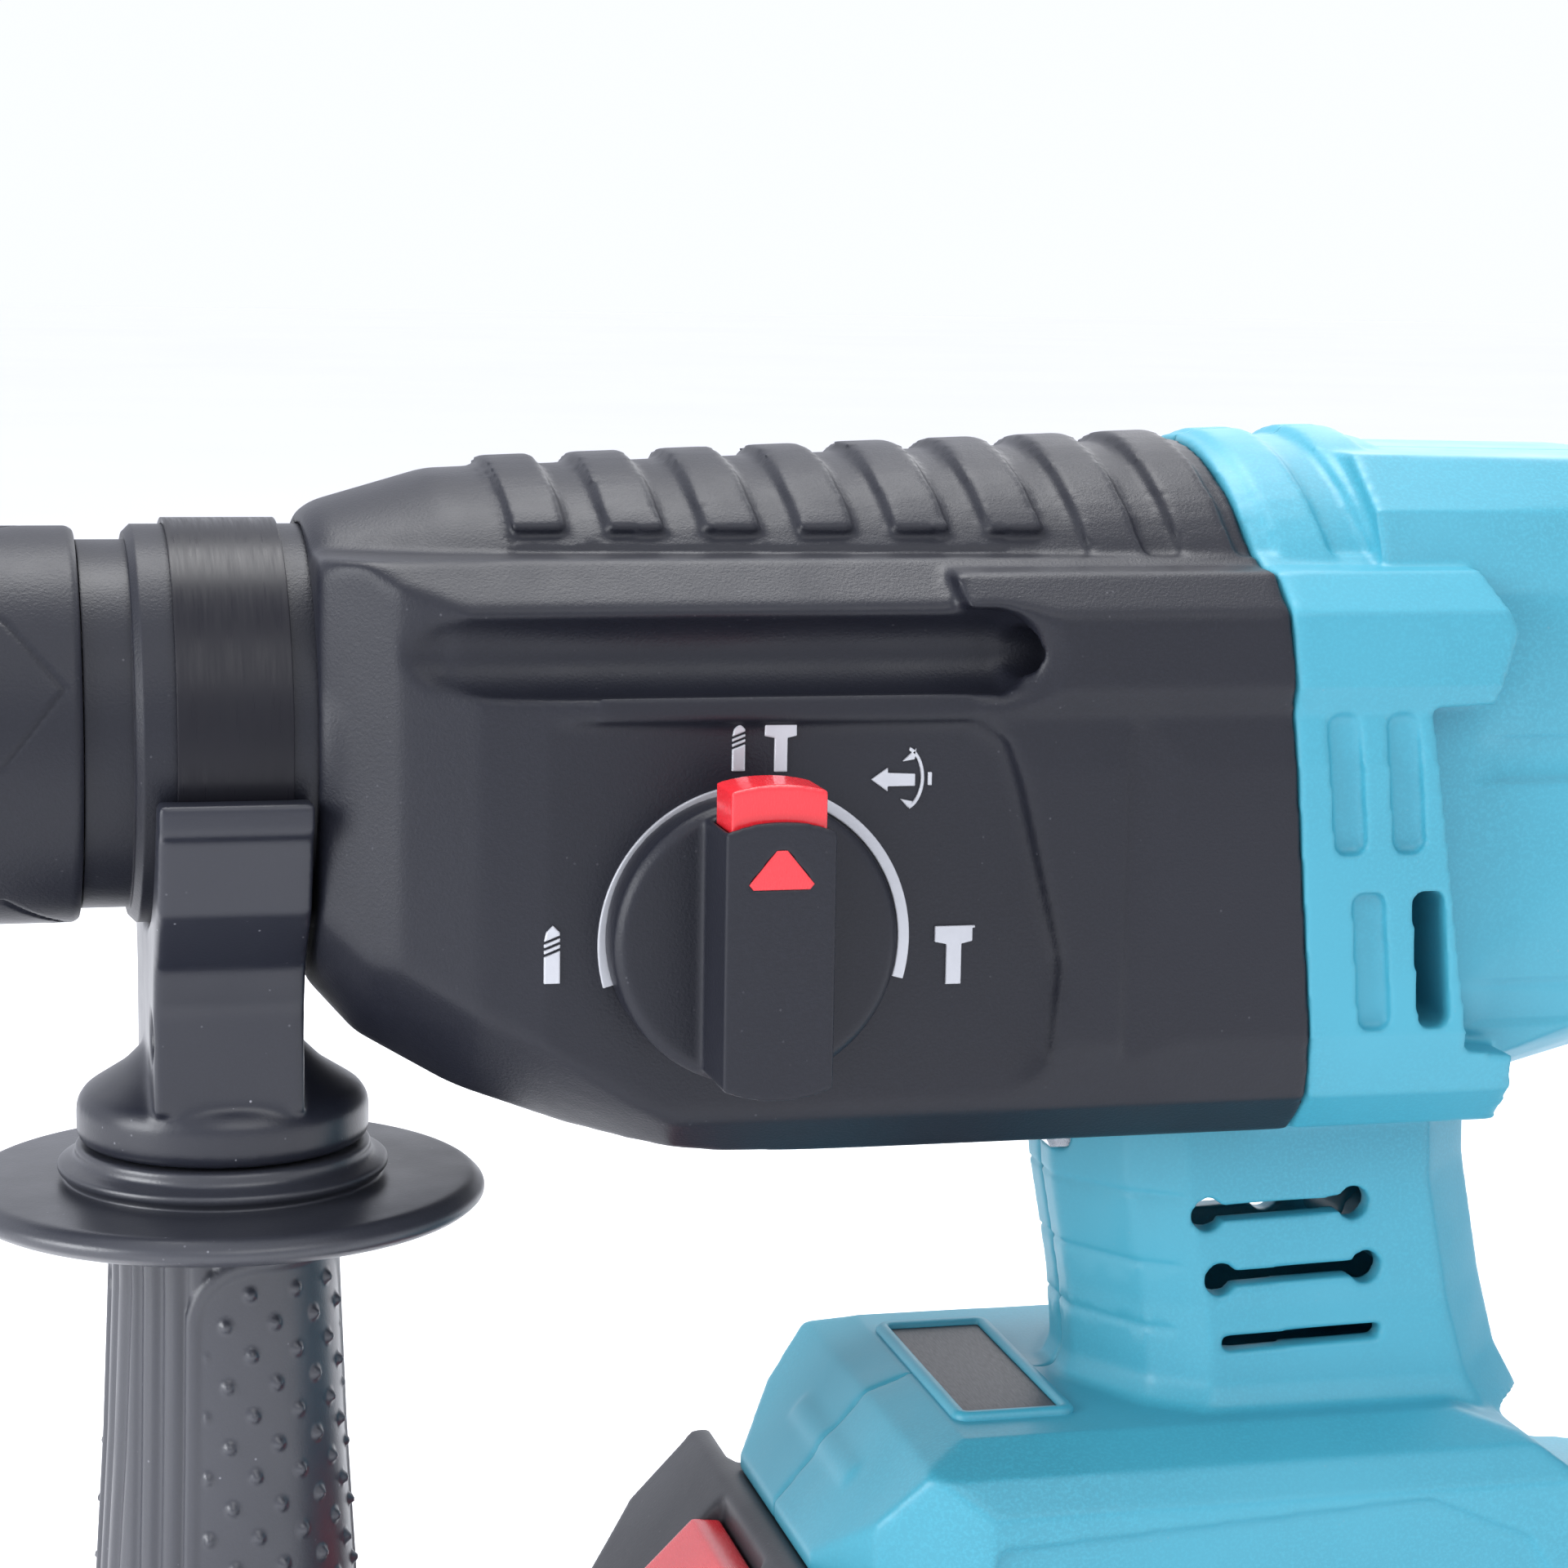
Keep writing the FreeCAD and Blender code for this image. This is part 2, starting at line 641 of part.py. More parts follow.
def case_side_details(case):
    shoulder = shoulder_block(SHOULDER_START, 205)
    front = side_plate([
        (SHOULDER_START - 5, 30), (SHOULDER_START - 1, 30), (SHOULDER_START + SHOULDER_LEAN, SHOULDER_LOW),
        (SHOULDER_START - 5, SHOULDER_LOW - 5),
    ], -60, 0)
    for tool in [front] + shoulder_mouth():
        shoulder = shoulder.cut(tool)
    case = case.fuse([shoulder, mirrored_y(shoulder)])
    hollow = flat_plate([(170.0, -50.0), (170.0, -39.1), (178.0, -40.05), (178.0, -50.0)], -55.0, 3.5)
    for tool in (rod_channel(), hollow):
        case = case.cut([tool, mirrored_y(tool)])
    return case.cut(knob_panel())


def web(x0, x1):
    return case_body(CASE_WALL - 0.5).common(box(x0, x1, -60, 60, -60, 60))


def gear_case():
    outer = case_body().fuse(case_ribs())
    outer = case_side_details(outer).common(ahead_of_joint())
    cavity = case_body(CASE_WALL + 0.6).cut(box(60, 84, -60, 60, -60, 60))
    liner = rod_x(ROD_CHANNEL_R + 2.6, 84.0, LINER_END, ROD_Y, ROD_Z)
    liners = [tube.common(case_body(0.5)) for tube in (liner, mirrored_y(liner))]
    channels = [rod_channel(), mirrored_y(rod_channel())]
    case = outer.cut(cavity).fuse([web(87.0, 94.0), web(118.0, 126.0)] + liners).cut(channels)
    case = case.cut(rod_x(BARREL_R + FIT, 70, BARREL_REAR))
    case = case.cut(rod_x(18.5, 80, 95))
    case = case.cut(rod_x(8.0 + FIT, 87.9, 95, 0, LAY_Z))
    case = case.cut(rod_x(20.0 + FIT, 117, 127))
    case = case.cut(rod_x(9.0, 117, 127, 0, LAY_Z))
    case = case.cut(box(117, 127, -21.0, -14.8, -38.0, -15.4))
    case = case.cut(rod_y(KNOB_SHAFT_R + 0.06, -60, KNOB_SHAFT_END - 1, KNOB_X, KNOB_Z))
    return case.cut(rod_y(KNOB_SHAFT_R + 1.0, -34.5, -14, KNOB_X, KNOB_Z))


def bearing_plate():
    """Cast plate between the gears and the motor."""
    plate = case_body(CASE_WALL + 0.62)
    plate = plate.common(box(PLATE_X, PLATE_X + PLATE_THICKNESS, -60, 60, -60, 60))
    plate = plate.cut(rod_x(8.0 + FIT, 170, 200, 0, LAY_Z))
    plate = plate.cut(rod_x(9.5 + FIT, 170, 200, 0, ROTOR_Z))
    return plate.cut(box(170, 200, -40, 40, 14, 40))


# ---------------------------------------------------------------- mode knob


def mode_knob():
    disc = Part.makeCone(KNOB_R, KNOB_R - 1.0, 1.0, V(KNOB_X, KNOB_DISC_FACE + 1, KNOB_Z), V(0, -1, 0))
    disc = disc.fuse(rod_y(KNOB_R, KNOB_DISC_FACE + 1, PANEL_Y - GAP, KNOB_X, KNOB_Z))
    bar = rod_y(KNOB_BAR_REACH, KNOB_BAR_FACE, KNOB_DISC_FACE + 1, KNOB_X, KNOB_Z)
    bar = bar.common(box(KNOB_X - KNOB_BAR_HALF, KNOB_X + KNOB_BAR_HALF, -60, -40, -50, 0))
    shaft = rod_y(KNOB_SHAFT_R, PANEL_Y - GAP, KNOB_SHAFT_END, KNOB_X, KNOB_Z)
    pin = rod_y(2.0, KNOB_SHAFT_END, -15.0, KNOB_X, KNOB_Z + ECCENTRIC)
    knob = disc.fuse([bar, shaft, pin]).removeSplitter()
    pocket = box(KNOB_X - 5.9, KNOB_X + 5.9, -55.0, -46.0, -9.4, 0.0)
    spring_hole = rod_z(2.4, -17.0, -9.0, KNOB_X, -50.5)
    return knob.cut([pocket, spring_hole, knob_pointer()])


def knob_pointer():
    """Triangular red pointer set in the bar's face."""
    outline = [
        (KNOB_X - 3.3, -12.7), (KNOB_X + 3.3, -12.7), (KNOB_X + 3.8, -12.1), (KNOB_X + 0.6, -8.2),
        (KNOB_X - 0.6, -8.2), (KNOB_X - 3.8, -12.1),
    ]
    return side_plate(outline, KNOB_BAR_FACE, KNOB_BAR_FACE + 0.6)


def lock_button():
    """Red button whose top follows the rim of the knob."""
    body = box(KNOB_X - 5.6, KNOB_X + 5.6, -54.6, -46.4, -6.6, 0.0)
    body = body.common(rod_y(BUTTON_RIM_R, -60, -40, KNOB_X, KNOB_Z))
    return body.cut(rod_z(2.4, -7.0, -5.2, KNOB_X, -50.5))


def knob_spring():
    return coil(V(KNOB_X, -50.5, -16.8), V(0, 0, 1), 1.8, 0.35, 11.2, 7)


# ---------------------------------------------------------------- motor


def rotor_shaft():
    gear_end = DRIVEN_GEAR_X + DRIVEN_GEAR_WIDTH + 1
    phase = -math.pi / 2 + math.pi / ROTOR_TEETH
    teeth = spur_gear(ROTOR_TEETH, ROTOR_MODULE, ROTOR_MODULE, phase, DRIVEN_GEAR_X - 1, gear_end, ROTOR_Z)
    return teeth.fuse(rod_x(SHAFT_R, gear_end, 251, 0, ROTOR_Z))


def rotor_core():
    core = tube_x(ROTOR_R, SHAFT_R + FIT, STATOR_FRONT + 1, STATOR_REAR - 1, 0, ROTOR_Z)
    slots = []
    for n in range(8):
        angle = 2 * math.pi * n / 8
        y = 10.6 * math.cos(angle)
        z = ROTOR_Z + 10.6 * math.sin(angle)
        slots.append(rod_x(1.1, STATOR_FRONT, STATOR_REAR, y, z))
    return core.cut(slots)


def cooling_fan():
    hub = tube_x(8.5, SHAFT_R + FIT, 189.5, 199.5, 0, ROTOR_Z)
    plate = tube_x(24.0, 8.0, 197.5, 199.5, 0, ROTOR_Z)
    blades = []
    for n in range(11):
        blade = box(190.5, 198.0, -0.6, 0.6, 12.0, 23.8)
        blade.rotate(V(0, 0, 18), V(1, 0, 0), 25)
        blade.rotate(V(0, 0, 0), V(1, 0, 0), 360.0 * n / 11)
        blades.append(blade.translated(V(0, 0, ROTOR_Z)))
    return hub.fuse([plate] + blades).removeSplitter()


def stator_core():
    ring = tube_x(STATOR_R, 22.0, STATOR_FRONT, STATOR_REAR, 0, ROTOR_Z)
    teeth = []
    for n in range(6):
        tooth = box(STATOR_FRONT, STATOR_REAR, -2.6, 2.6, 15.0, 23.0)
        shoe = box(STATOR_FRONT, STATOR_REAR, -5.4, 5.4, 14.6, 16.4)
        both = tooth.fuse(shoe)
        both.rotate(V(0, 0, 0), V(1, 0, 0), 60.0 * n + 30)
        teeth.append(both.translated(V(0, 0, ROTOR_Z)))
    bore = rod_x(14.3, 200, 240, 0, ROTOR_Z)
    return ring.fuse(teeth).cut(bore).removeSplitter()


def stator_windings():
    coils = []
    for n in range(6):
        winding = box(STATOR_FRONT - 2.5, STATOR_REAR + 2.5, -5.6, 5.6, 16.6, 20.6)
        winding = winding.cut(box(STATOR_FRONT - 0.05, STATOR_REAR + 0.05, -2.7, 2.7, 10, 25))
        winding.rotate(V(0, 0, 0), V(1, 0, 0), 60.0 * n + 30)
        coils.append(winding.translated(V(0, 0, ROTOR_Z)))
    return group(coils)


# ---------------------------------------------------------------- motor housing


def housing_shell():
    side = side_plate(HOUSING_SIDE, -60, 60)
    level = flat_plate(both_sides_of_x(HOUSING_PLAN), -60, 60)
    ends = end_plate(both_sides(HOUSING_SECTION), 205, 322)
    cone = turned_x([(205, 0)] + HOUSING_TAPER + [(322, 0)], TAPER_Z)
    return side.common(level).common(ends).common(cone)


def grip_section(z, front, rear, half):
    """Twelve-sided section of the grip, flatter at the sides."""
    centre = (front + rear) / 2
    reach = (rear - front) / 2
    quarter = [(1.0, 0.3), (0.86, 0.66), (0.56, 0.94)]
    ring = quarter + [(-x, y) for x, y in reversed(quarter)]
    ring += [(-x, -y) for x, y in quarter] + [(x, -y) for x, y in reversed(quarter)]
    points = [V(centre + x * reach, y * half, z) for x, y in ring]
    return Part.makePolygon(points + points[:1])


def grip_shell(inset=0.0):
    sections = [
        grip_section(z, front + inset, rear - inset, half - inset)
        for z, front, rear, half in GRIP_STATIONS
    ]
    return Part.makeLoft(sections, True, True)


def strut_section(z, front, rear, half):
    """Eight-sided section with two facets at the front."""
    outline = [
        (front, -5.0), (front + 7.0, -half * 0.78), (front + 14.0, -half), (rear - 10.0, -half),
        (rear, -half * 0.45), (rear, half * 0.45), (rear - 10.0, half), (front + 14.0, half),
        (front + 7.0, half * 0.78), (front, 5.0),
    ]
    points = [V(x, y, z) for x, y in outline]
    return Part.makePolygon(points + points[:1])


def strut_shell(grow=0.0):
    sections = [
        strut_section(z, front - grow, rear + grow, half + grow)
        for z, front, rear, half in STRUT_STATIONS
    ]
    return Part.makeLoft(sections, True, True)


def front_block():
    """The block behind the joint that carries on the gear case, with its slanted rear face."""
    shoulder = shoulder_block(180, 240)
    crown = rod_x(CASE_CROWN[-1][1], 180, 240)
    body = crown.fuse([end_plate(both_sides(CASE_SECTION[:-1] + [(22.0, -51.2)]), 180, 240), shoulder])
    body = body.fuse(mirrored_y(shoulder))
    outline = [
        (joint_x(60), 60), (212.5, 60), (212.5, 40), (216.0, 21.6), (219.5, 14.0), (217.0, 5.0),
        (209.0, 4.6), (215.4, -38.5), (222.0, -39.5), (224.0, -52), (224.0, -60),
        (joint_x(-60), -60),
    ]
    return body.common(side_plate(outline, -60, 60))


def housing_ribs():
    """Two raised ribs over the front block."""
    skin = rib_skin()
    slabs = [rib_slab(x, LONG_RIB_LOW) for x in (189.8, 202.0)]
    return [skin.common(slab).cut(ahead_of_joint()) for slab in slabs]


def base_shell():
    """Battery base with sloping nose, sloping shoulders and a curved rear."""
    outline = [
        (BASE_FRONT, BASE_BOTTOM), (BASE_FRONT, -105.5), (149.3, -91.0), (155.0, BASE_TOP),
        (222.0, BASE_TOP), (229.0, -91.0), (235.0, -95.5), (241.0, -104.0),
        (BASE_REAR, -116.0), (BASE_REAR, BASE_BOTTOM),
    ]
    block = side_plate(outline, -BASE_HALF, BASE_HALF)
    shoulders = end_plate([
        (-27.0, -80.0), (-27.0, BASE_TOP), (-34.5, -92.0), (-BASE_HALF, -96.0),
        (-BASE_HALF, BASE_BOTTOM), (BASE_HALF, BASE_BOTTOM), (BASE_HALF, -96.0), (34.5, -92.0),
        (27.0, BASE_TOP), (27.0, -80.0),
    ], 130, 250)
    plan = flat_plate([
        (BASE_FRONT, -20.0), (143.0, -30.0), (156.0, -BASE_HALF), (236.0, -BASE_HALF),
        (BASE_REAR, -28.0), (BASE_REAR, 28.0), (236.0, BASE_HALF), (156.0, BASE_HALF),
        (143.0, 30.0), (BASE_FRONT, 20.0),
    ], -130, -80)
    bridge = side_plate([
        (236.0, -104.0), (250.0, -109.5), (268.0, -111.5), (300.0, -112.0), (311.0, -118.0),
        (311.0, BASE_BOTTOM), (236.0, BASE_BOTTOM),
    ], -19.0, 19.0)
    return block.common(shoulders).common(plan).fuse(bridge)


def side_recess():
    """Shallow recess and raised pad on the side of the battery base."""
    outer = [
        (150.0, -130.0), (157.0, -100.0), (214.0, -97.0), (228.0, -103.0), (236.0, -115.0),
        (238.0, -130.0),
    ]
    return side_plate(outer, -BASE_HALF - 5, -BASE_HALF + 1.0)


def strut_slots():
    tools = []
    for n, (x0, z) in enumerate([(188.4, -63.6), (190.4, -72.3), (191.6, -80.8)]):
        length = 22.0
        slot = box(x0, x0 + length, -30, 30, z - 1.0, z + 1.0)
        slot.rotate(V(x0, 0, z), V(0, 1, 0), -2.0)
        tools.append(slot)
        if n < 2:
            tools.append(rod_y(2.2, -30, 30, x0 + 1, z))
            tools.append(rod_y(2.2, -30, 30, x0 + length - 1, z + 0.7))
    return tools


def vent_windows():
    """Oblong windows beside the fan: three are shallow panels and one is open, each side."""
    tools = []
    shallow = 1.5
    places = [(197.3, 4.0, shallow), (205.0, 4.0, shallow), (201.3, -18.0, shallow), (209.2, -18.0, 14.0)]
    for x, z, depth in places:
        outline = [(x - 2.1, z), (x + 2.1, z), (x + 3.7, z - 17.3), (x - 0.5, z - 17.3)]
        tool = soft_plate(outline, -40.0 - 2, -40.0 + depth, 1.5)
        tools += [tool, mirrored_y(tool)]
    return tools


def housing_screw_places():
    return [
        (222.0, 26.0), (248.0, 24.0), (247.0, -37.0), (186.0, -56.5), (220.5, -70.5),
        (147.0, -100.0), (238.0, -110.0), (298.0, 14.0), (300.0, -72.0), (288.0, -117.0),
    ]


def housing_cavities():
    grip = grip_shell(4.5).common(box(270, 330, -20, 20, -98, -2))
    wiring = side_plate(
        [(256.0, 25.0), (282.0, 20.0), (304.0, 10.0), (304.0, -4.0), (284.0, -10.0), (256.0, -30.0)],
        -12.5, 12.5,
    )
    strut = strut_shell(-STRUT_WALL).common(box(160, 250, -40, 40, -91.5, -45.0))
    base = side_plate([
        (144.0, -104.6), (153.0, -93.2), (220.0, -93.2), (232.0, -100.0), (234.0, -104.6),
    ], -30.0, 30.0)
    return [
        rod_x(STATOR_R + FIT, STATOR_FRONT - 1, 241, 0, ROTOR_Z),
        rod_x(30.0, 185, STATOR_FRONT, 0, ROTOR_Z),
        rod_x(8.0 + FIT, 240, 250, 0, ROTOR_Z),
        rod_x(SHAFT_R + 0.2, 249, 252, 0, ROTOR_Z),
        grip, wiring, strut, base,
        box(BASE_FRONT - 5, 236.0, -CHANNEL_HALF, CHANNEL_HALF, BASE_BOTTOM - 5, BASE_FLOOR),
    ]


def motor_housing():
    """Whole motor housing with strut, base and D-handle, before it is parted along Y = 0."""
    outer = housing_shell().fuse([grip_shell(), strut_shell(), base_shell()])
    outer = outer.cut(ahead_of_joint(60.0, -0.02).common(box(60, 240, -60, 60, -51.3, 60)))
    outer = outer.fuse([front_block()] + housing_ribs())
    shell = outer.cut(housing_cavities())
    bosses = [rod_y(4.6, -14.5, 14.5, x, z) for x, z in housing_screw_places()]
    shell = shell.fuse(bosses).cut(rod_x(STATOR_R + FIT, STATOR_FRONT - 1, 241, 0, ROTOR_Z))
    for x, z in housing_screw_places():
        shell = shell.cut(rod_y(1.6 + FIT, -10, 12, x, z))
        shell = shell.cut(rod_y(3.2, 9.0, 60, x, z))
    shell = shell.cut(strut_slots() + vent_windows())
    shell = shell.cut([side_recess(), mirrored_y(side_recess())])
    shell = shell.cut(overmould_blank())
    shell = shell.cut([trigger_opening(), slider_opening(), display_seat(), led_seat()])
    rails = [box(140.0, 200.0, y0, y1, RAIL_BOTTOM + GAP, RAIL_TOP - GAP)
             for y0, y1 in ((-CHANNEL_HALF, -21.0), (21.0, CHANNEL_HALF))]
    return shell.fuse(rails)


def overmould_blank():
    """Rubber skin over the back of the grip."""
    skin = grip_shell().cut(grip_shell(OVERMOULD))
    outline = [(OVERMOULD_X + 4, -4), (330, -4), (330, -104), (OVERMOULD_X - 4, -104), (OVERMOULD_X, -50)]
    return skin.common(side_plate(outline, -30, 30))


def housing_half(whole, side):
    y0, y1 = (-80, 0) if side < 0 else (0, 80)
    return whole.common(box(120, 340, y0, y1, -140, 60))


def housing_screws():
    screws = []
    for x, z in housing_screw_places():
        shank = rod_y(1.6, -10, 9.0, x, z)
        head = rod_y(3.0, 9.0, 11.4, x, z)
        socket = rod_y(1.2, 10.2, 12.0, x, z)
        screws.append(shank.fuse(head).cut(socket))
    return group(screws)


def display_seat():
    return box(DISPLAY_X[0], DISPLAY_X[1], -DISPLAY_HALF, DISPLAY_HALF, BASE_TOP - 1.6, BASE_TOP + 2)


def display_panel():
    return box(
        DISPLAY_X[0] + 0.1, DISPLAY_X[1] - 0.1, -DISPLAY_HALF + 0.1, DISPLAY_HALF - 0.1,
        BASE_TOP - 1.5, BASE_TOP + 0.2,
    )


def led_seat():
    return box(165.0, 176.5, -7.2, 7.2, -57.2, -51.2)


def led_lens():
    outline = [(169.0, -51.6), (175.0, -51.6), (175.0, -57.0), (172.0, -57.0)]
    return side_plate(outline, -7.0, 7.0)


# ---------------------------------------------------------------- handle controls


def trigger_opening():
    return box(270.0, 293.0, -6.6, 6.6, -54.0, -24.0)


def trigger():
    outline = [
        (291.8, -27.0), (273.5, -27.0), (271.2, -31.0), (272.2, -38.0), (271.6, -46.0),
        (273.0, -51.0), (277.0, -52.8), (291.8, -52.8),
    ]
    return side_plate(outline, -6.2, 6.2).cut(box(286.0, 295.0, -7, 7, -60, -36.0))


def trigger_spring():
    return coil(V(286.2, 0, -44.0), V(1, 0, 0), 3.4, 0.5, 11.4, 5)


def slider_opening():
    return box(283.5, 292.5, -30, 30, -20.0, -12.0)


def direction_slider():
    return box(284.2, 291.8, -21.5, 21.5, -19.5, -12.5)


def switch_body():
    return box(299.0, 308.0, -9.0, 9.0, -56.0, -26.0).fuse(
        box(292.2, 299.0, -9.0, 9.0, -34.0, -26.0).translated(V(7.4, 0, 0)))


# ---------------------------------------------------------------- electronics


def controller_board():
    board = box(164.0, 222.0, -21.0, 21.0, -101.0, -99.4)
    parts = [rod_z(5.0, -99.4, -94.0, 214.0, 10.0)]
    for n in range(6):
        parts.append(box(170.0 + 7 * n, 174.5 + 7 * n, -14, -8, -99.4, -96.4))
    return board.fuse(parts)


def terminal_block():
    body = box(206.0, 226.0, -16.0, 16.0, -120.0, BASE_FLOOR)
    blades = [box(196.0, 206.0, y - 0.4, y + 0.4, -118.0, -112.0) for y in (-11.0, -4.0, 4.0, 11.0)]
    return body.fuse(blades)


# ---------------------------------------------------------------- battery pack


def pack_outline(inset=0.0):
    return [
        (PACK_FRONT + inset, PACK_BOTTOM + inset), (PACK_REAR - inset, PACK_BOTTOM + inset),
        (PACK_REAR - inset, PACK_SHOULDER - inset), (BASE_FRONT - GAP - inset, PACK_SHOULDER - inset),
        (BASE_FRONT - GAP - inset, BASE_FLOOR + 0.3 - inset), (134.0, BASE_FLOOR + 0.3 - inset),
        (PACK_FRONT + inset, -127.0),
    ]


def pack_plan(inset=0.0):
    half = PACK_HALF - inset
    x0 = PACK_FRONT + inset
    x1 = PACK_REAR - inset
    return flat_plate([
        (x0, -half + 9), (x0 + 9, -half), (x1 - 5, -half), (x1, -half + 5),
        (x1, half - 5), (x1 - 5, half), (x0 + 9, half), (x0, half - 9),
    ], -180, -100)


def pack_shell():
    outer = side_plate(pack_outline(), -PACK_HALF, PACK_HALF).common(pack_plan())
    rail_block = box(BASE_FRONT - 1, 202.0, -24.4, 24.4, PACK_SHOULDER - 1, BASE_FLOOR - GAP)
    outer = outer.fuse(rail_block)
    for y0, y1 in ((-25.0, -20.6), (20.6, 25.0)):
        outer = outer.cut(box(BASE_FRONT + 0.5, 210, y0, y1, RAIL_BOTTOM, RAIL_TOP))
    cavity = side_plate([
        (PACK_FRONT + 3, PACK_BOTTOM + 3), (PACK_REAR - 3, PACK_BOTTOM + 3),
        (PACK_REAR - 3, PACK_SHOULDER - 3), (PACK_FRONT + 3, PACK_SHOULDER - 3),
    ], -PACK_HALF + 3, PACK_HALF - 3).common(pack_plan(3.0))
    slots = [box(194.0, 210, y - 1.4, y + 1.4, -118.6, -111.4) for y in (-11.0, -4.0, 4.0, 11.0)]
    outer = outer.cut(cavity).cut(slots)
    return outer.cut(button_seat())


def button_seat():
    """Pocket in the pack's sloping nose for the release button."""
    return box(119.0, 133.0, -12.5, 12.5, -126.0, -100.0)


def battery_case_upper():
    return pack_shell().common(box(100, 300, -60, 60, PACK_SPLIT, -90))


def battery_case_lower():
    return pack_shell().common(box(100, 300, -60, 60, -190, PACK_SPLIT))


def battery_cells():
    cells = []
    for row in (-163.4, -144.0):
        for n in range(5):
            x = PACK_FRONT + 20.0 + CELL_PITCH * n
            cell = rod_y(CELL_R, -CELL_LENGTH / 2, CELL_LENGTH / 2, x, row)
            cells.append(cell.fuse(rod_y(3.0, -CELL_LENGTH / 2 - 1, 0, x, row)))
    return group(cells)


def cell_frame():
    """Plastic tray that spaces the cells, one plate at each end of them."""
    plates = []
    for y0, y1 in ((-31.0, -24.0), (24.0, 31.0)):
        plate = box(PACK_FRONT + 9, PACK_REAR - 5, y0, y1, -172.9, -134.4)
        for row in (-163.4, -144.0):
            for n in range(5):
                x = PACK_FRONT + 20.0 + CELL_PITCH * n
                plate = plate.cut(rod_y(CELL_R + FIT, -40, 40, x, row))
        plates.append(plate)
    return group(plates)


def battery_contacts():
    """Folded spring contacts, a leaf on each side of every slot."""
    leaves = []
    for y in (-11.0, -4.0, 4.0, 11.0):
        for side in (-1, 1):
            inner = y + side * 0.8
            outer = y + side * 1.35
            leaves.append(box(195.0, 201.0, min(inner, outer), max(inner, outer), -117.6, -112.4))
    return group(leaves)


def release_button():
    outline = [
        (119.6, -124.0), (132.6, -124.0), (132.6, -112.0), (128.6, -111.5), (119.6, -120.5),
    ]
    return side_plate(outline, -12.0, 12.0).cut(rod_z(3.3, -130, -119.0, 127.0, 0))


def release_spring():
    return coil(V(127.0, 0, -125.9), V(0, 0, 1), 2.6, 0.4, 6.8, 4)


# ---------------------------------------------------------------- side handle


def clamp_band():
    """Steel band round the barrel with a lug that the clamp bolt pulls down."""
    ring = tube_x(BAND_R, BARREL_R + 0.08, BAND_X[0], BAND_X[1])
    lug = box(BAND_X[0] + 2, BAND_X[1] - 2, -4.0, 4.0, -31.0, -BAND_R + 0.4)
    return ring.fuse(lug).removeSplitter()


def handle_saddle():
    """Saddle, neck and round collar of the side handle."""
    x0, x1 = SADDLE_X
    top = end_plate([
        (-29.2, SADDLE_TOP), (29.2, SADDLE_TOP), (29.2, -9.5), (27.8, -10.5), (25.6, -19.5),
        (NECK_HALF + 2, -27.5), (NECK_HALF, -33.0), (-NECK_HALF, -33.0), (-NECK_HALF - 2, -27.5),
        (-25.6, -19.5), (-27.8, -10.5), (-29.2, -9.5),
    ], x0, x1)
    neck = box(x0, x1, -NECK_HALF, NECK_HALF, COLLAR_TOP, -32.0)
    collar = turned_z([
        (0.0, -40.0), (9.5, -40.0), (12.5, -43.0), (COLLAR_WIDE - 1, COLLAR_TOP),
        (COLLAR_WIDE, COLLAR_TOP - 1.5), (COLLAR_WIDE, COLLAR_LOW + 1.0),
        (COLLAR_WIDE - 0.8, COLLAR_LOW), (0.0, COLLAR_LOW),
    ], HANDLE_X, 0)
    body = top.fuse([neck, collar]).removeSplitter()
    body = body.cut(rod_x(BAND_R + 0.15, BAND_X[0] - 0.2, BAND_X[1] + 0.2))
    body = body.cut(rod_x(BARREL_R + 0.35, x0 - 1, x1 + 1))
    body = body.cut(box(BAND_X[0] + 1.5, BAND_X[1] - 1.5, -6.5, 6.5, -41.0, -20.0))
    body = body.cut(rod_z(BOLT_R + 0.2, -60, -30, HANDLE_X, 0))
    return body.cut(rod_x(ROD_HOLE_R, x0 - 5, x1 + 5, ROD_HOLE_Y, ROD_HOLE_Z))


def clamp_bolt():
    head = box(HANDLE_X - 4.7, HANDLE_X + 4.7, -6.0, 6.0, -36.0, -31.0)
    return head.fuse(rod_z(BOLT_R, -84.0, -36.0, HANDLE_X, 0)).removeSplitter()


def side_grip():
    """Turned grip with its hand guard disc."""
    outline = [
        (BOLT_R + 0.1, COLLAR_LOW - GAP), (18.4, COLLAR_LOW - GAP), (18.4, -54.4), (20.6, -55.2),
        (20.6, -56.0), (19.4, DISC_TOP), (DISC_R - 1.4, DISC_TOP), (DISC_R, -58.6),
        (DISC_R, -59.6), (DISC_R - 1.4, -60.8), (14.4, -60.8), (14.2, -70.0), (15.2, -90.0),
        (16.4, -110.0), (16.4, -126.0), (15.4, -144.0), (15.4, -156.0), (17.6, -162.0),
        (17.6, -165.5), (15.0, GRIP_END), (0.0, GRIP_END), (0.0, -88.0), (BOLT_R + 0.1, -88.0),
    ]
    grip = turned_z(outline, HANDLE_X, 0)
    return grip.cut(nut_prism(0.02))


def nut_prism(grow):
    across = 6.6 + grow
    points = []
    for n in range(6):
        angle = math.pi / 3 * n
        points.append((HANDLE_X + across * math.cos(angle), across * math.sin(angle)))
    return flat_plate(points, -82.0, -75.0)


def grip_nut():
    return nut_prism(0.0).cut(rod_z(BOLT_R + 0.1, -90, -70, HANDLE_X, 0))


# ---------------------------------------------------------------- fasteners


def case_screws():
    """Four long screws that hold the gear case to the motor housing."""
    screws = []
    for y, z in case_screw_places():
        shank = rod_x(2.0, 178.0, 200.0, y, z)
        head = rod_x(3.6, 200.0, 203.0, y, z)
        screws.append(shank.fuse(head).cut(rod_x(1.5, 201.5, 204, y, z)))
    return group(screws)


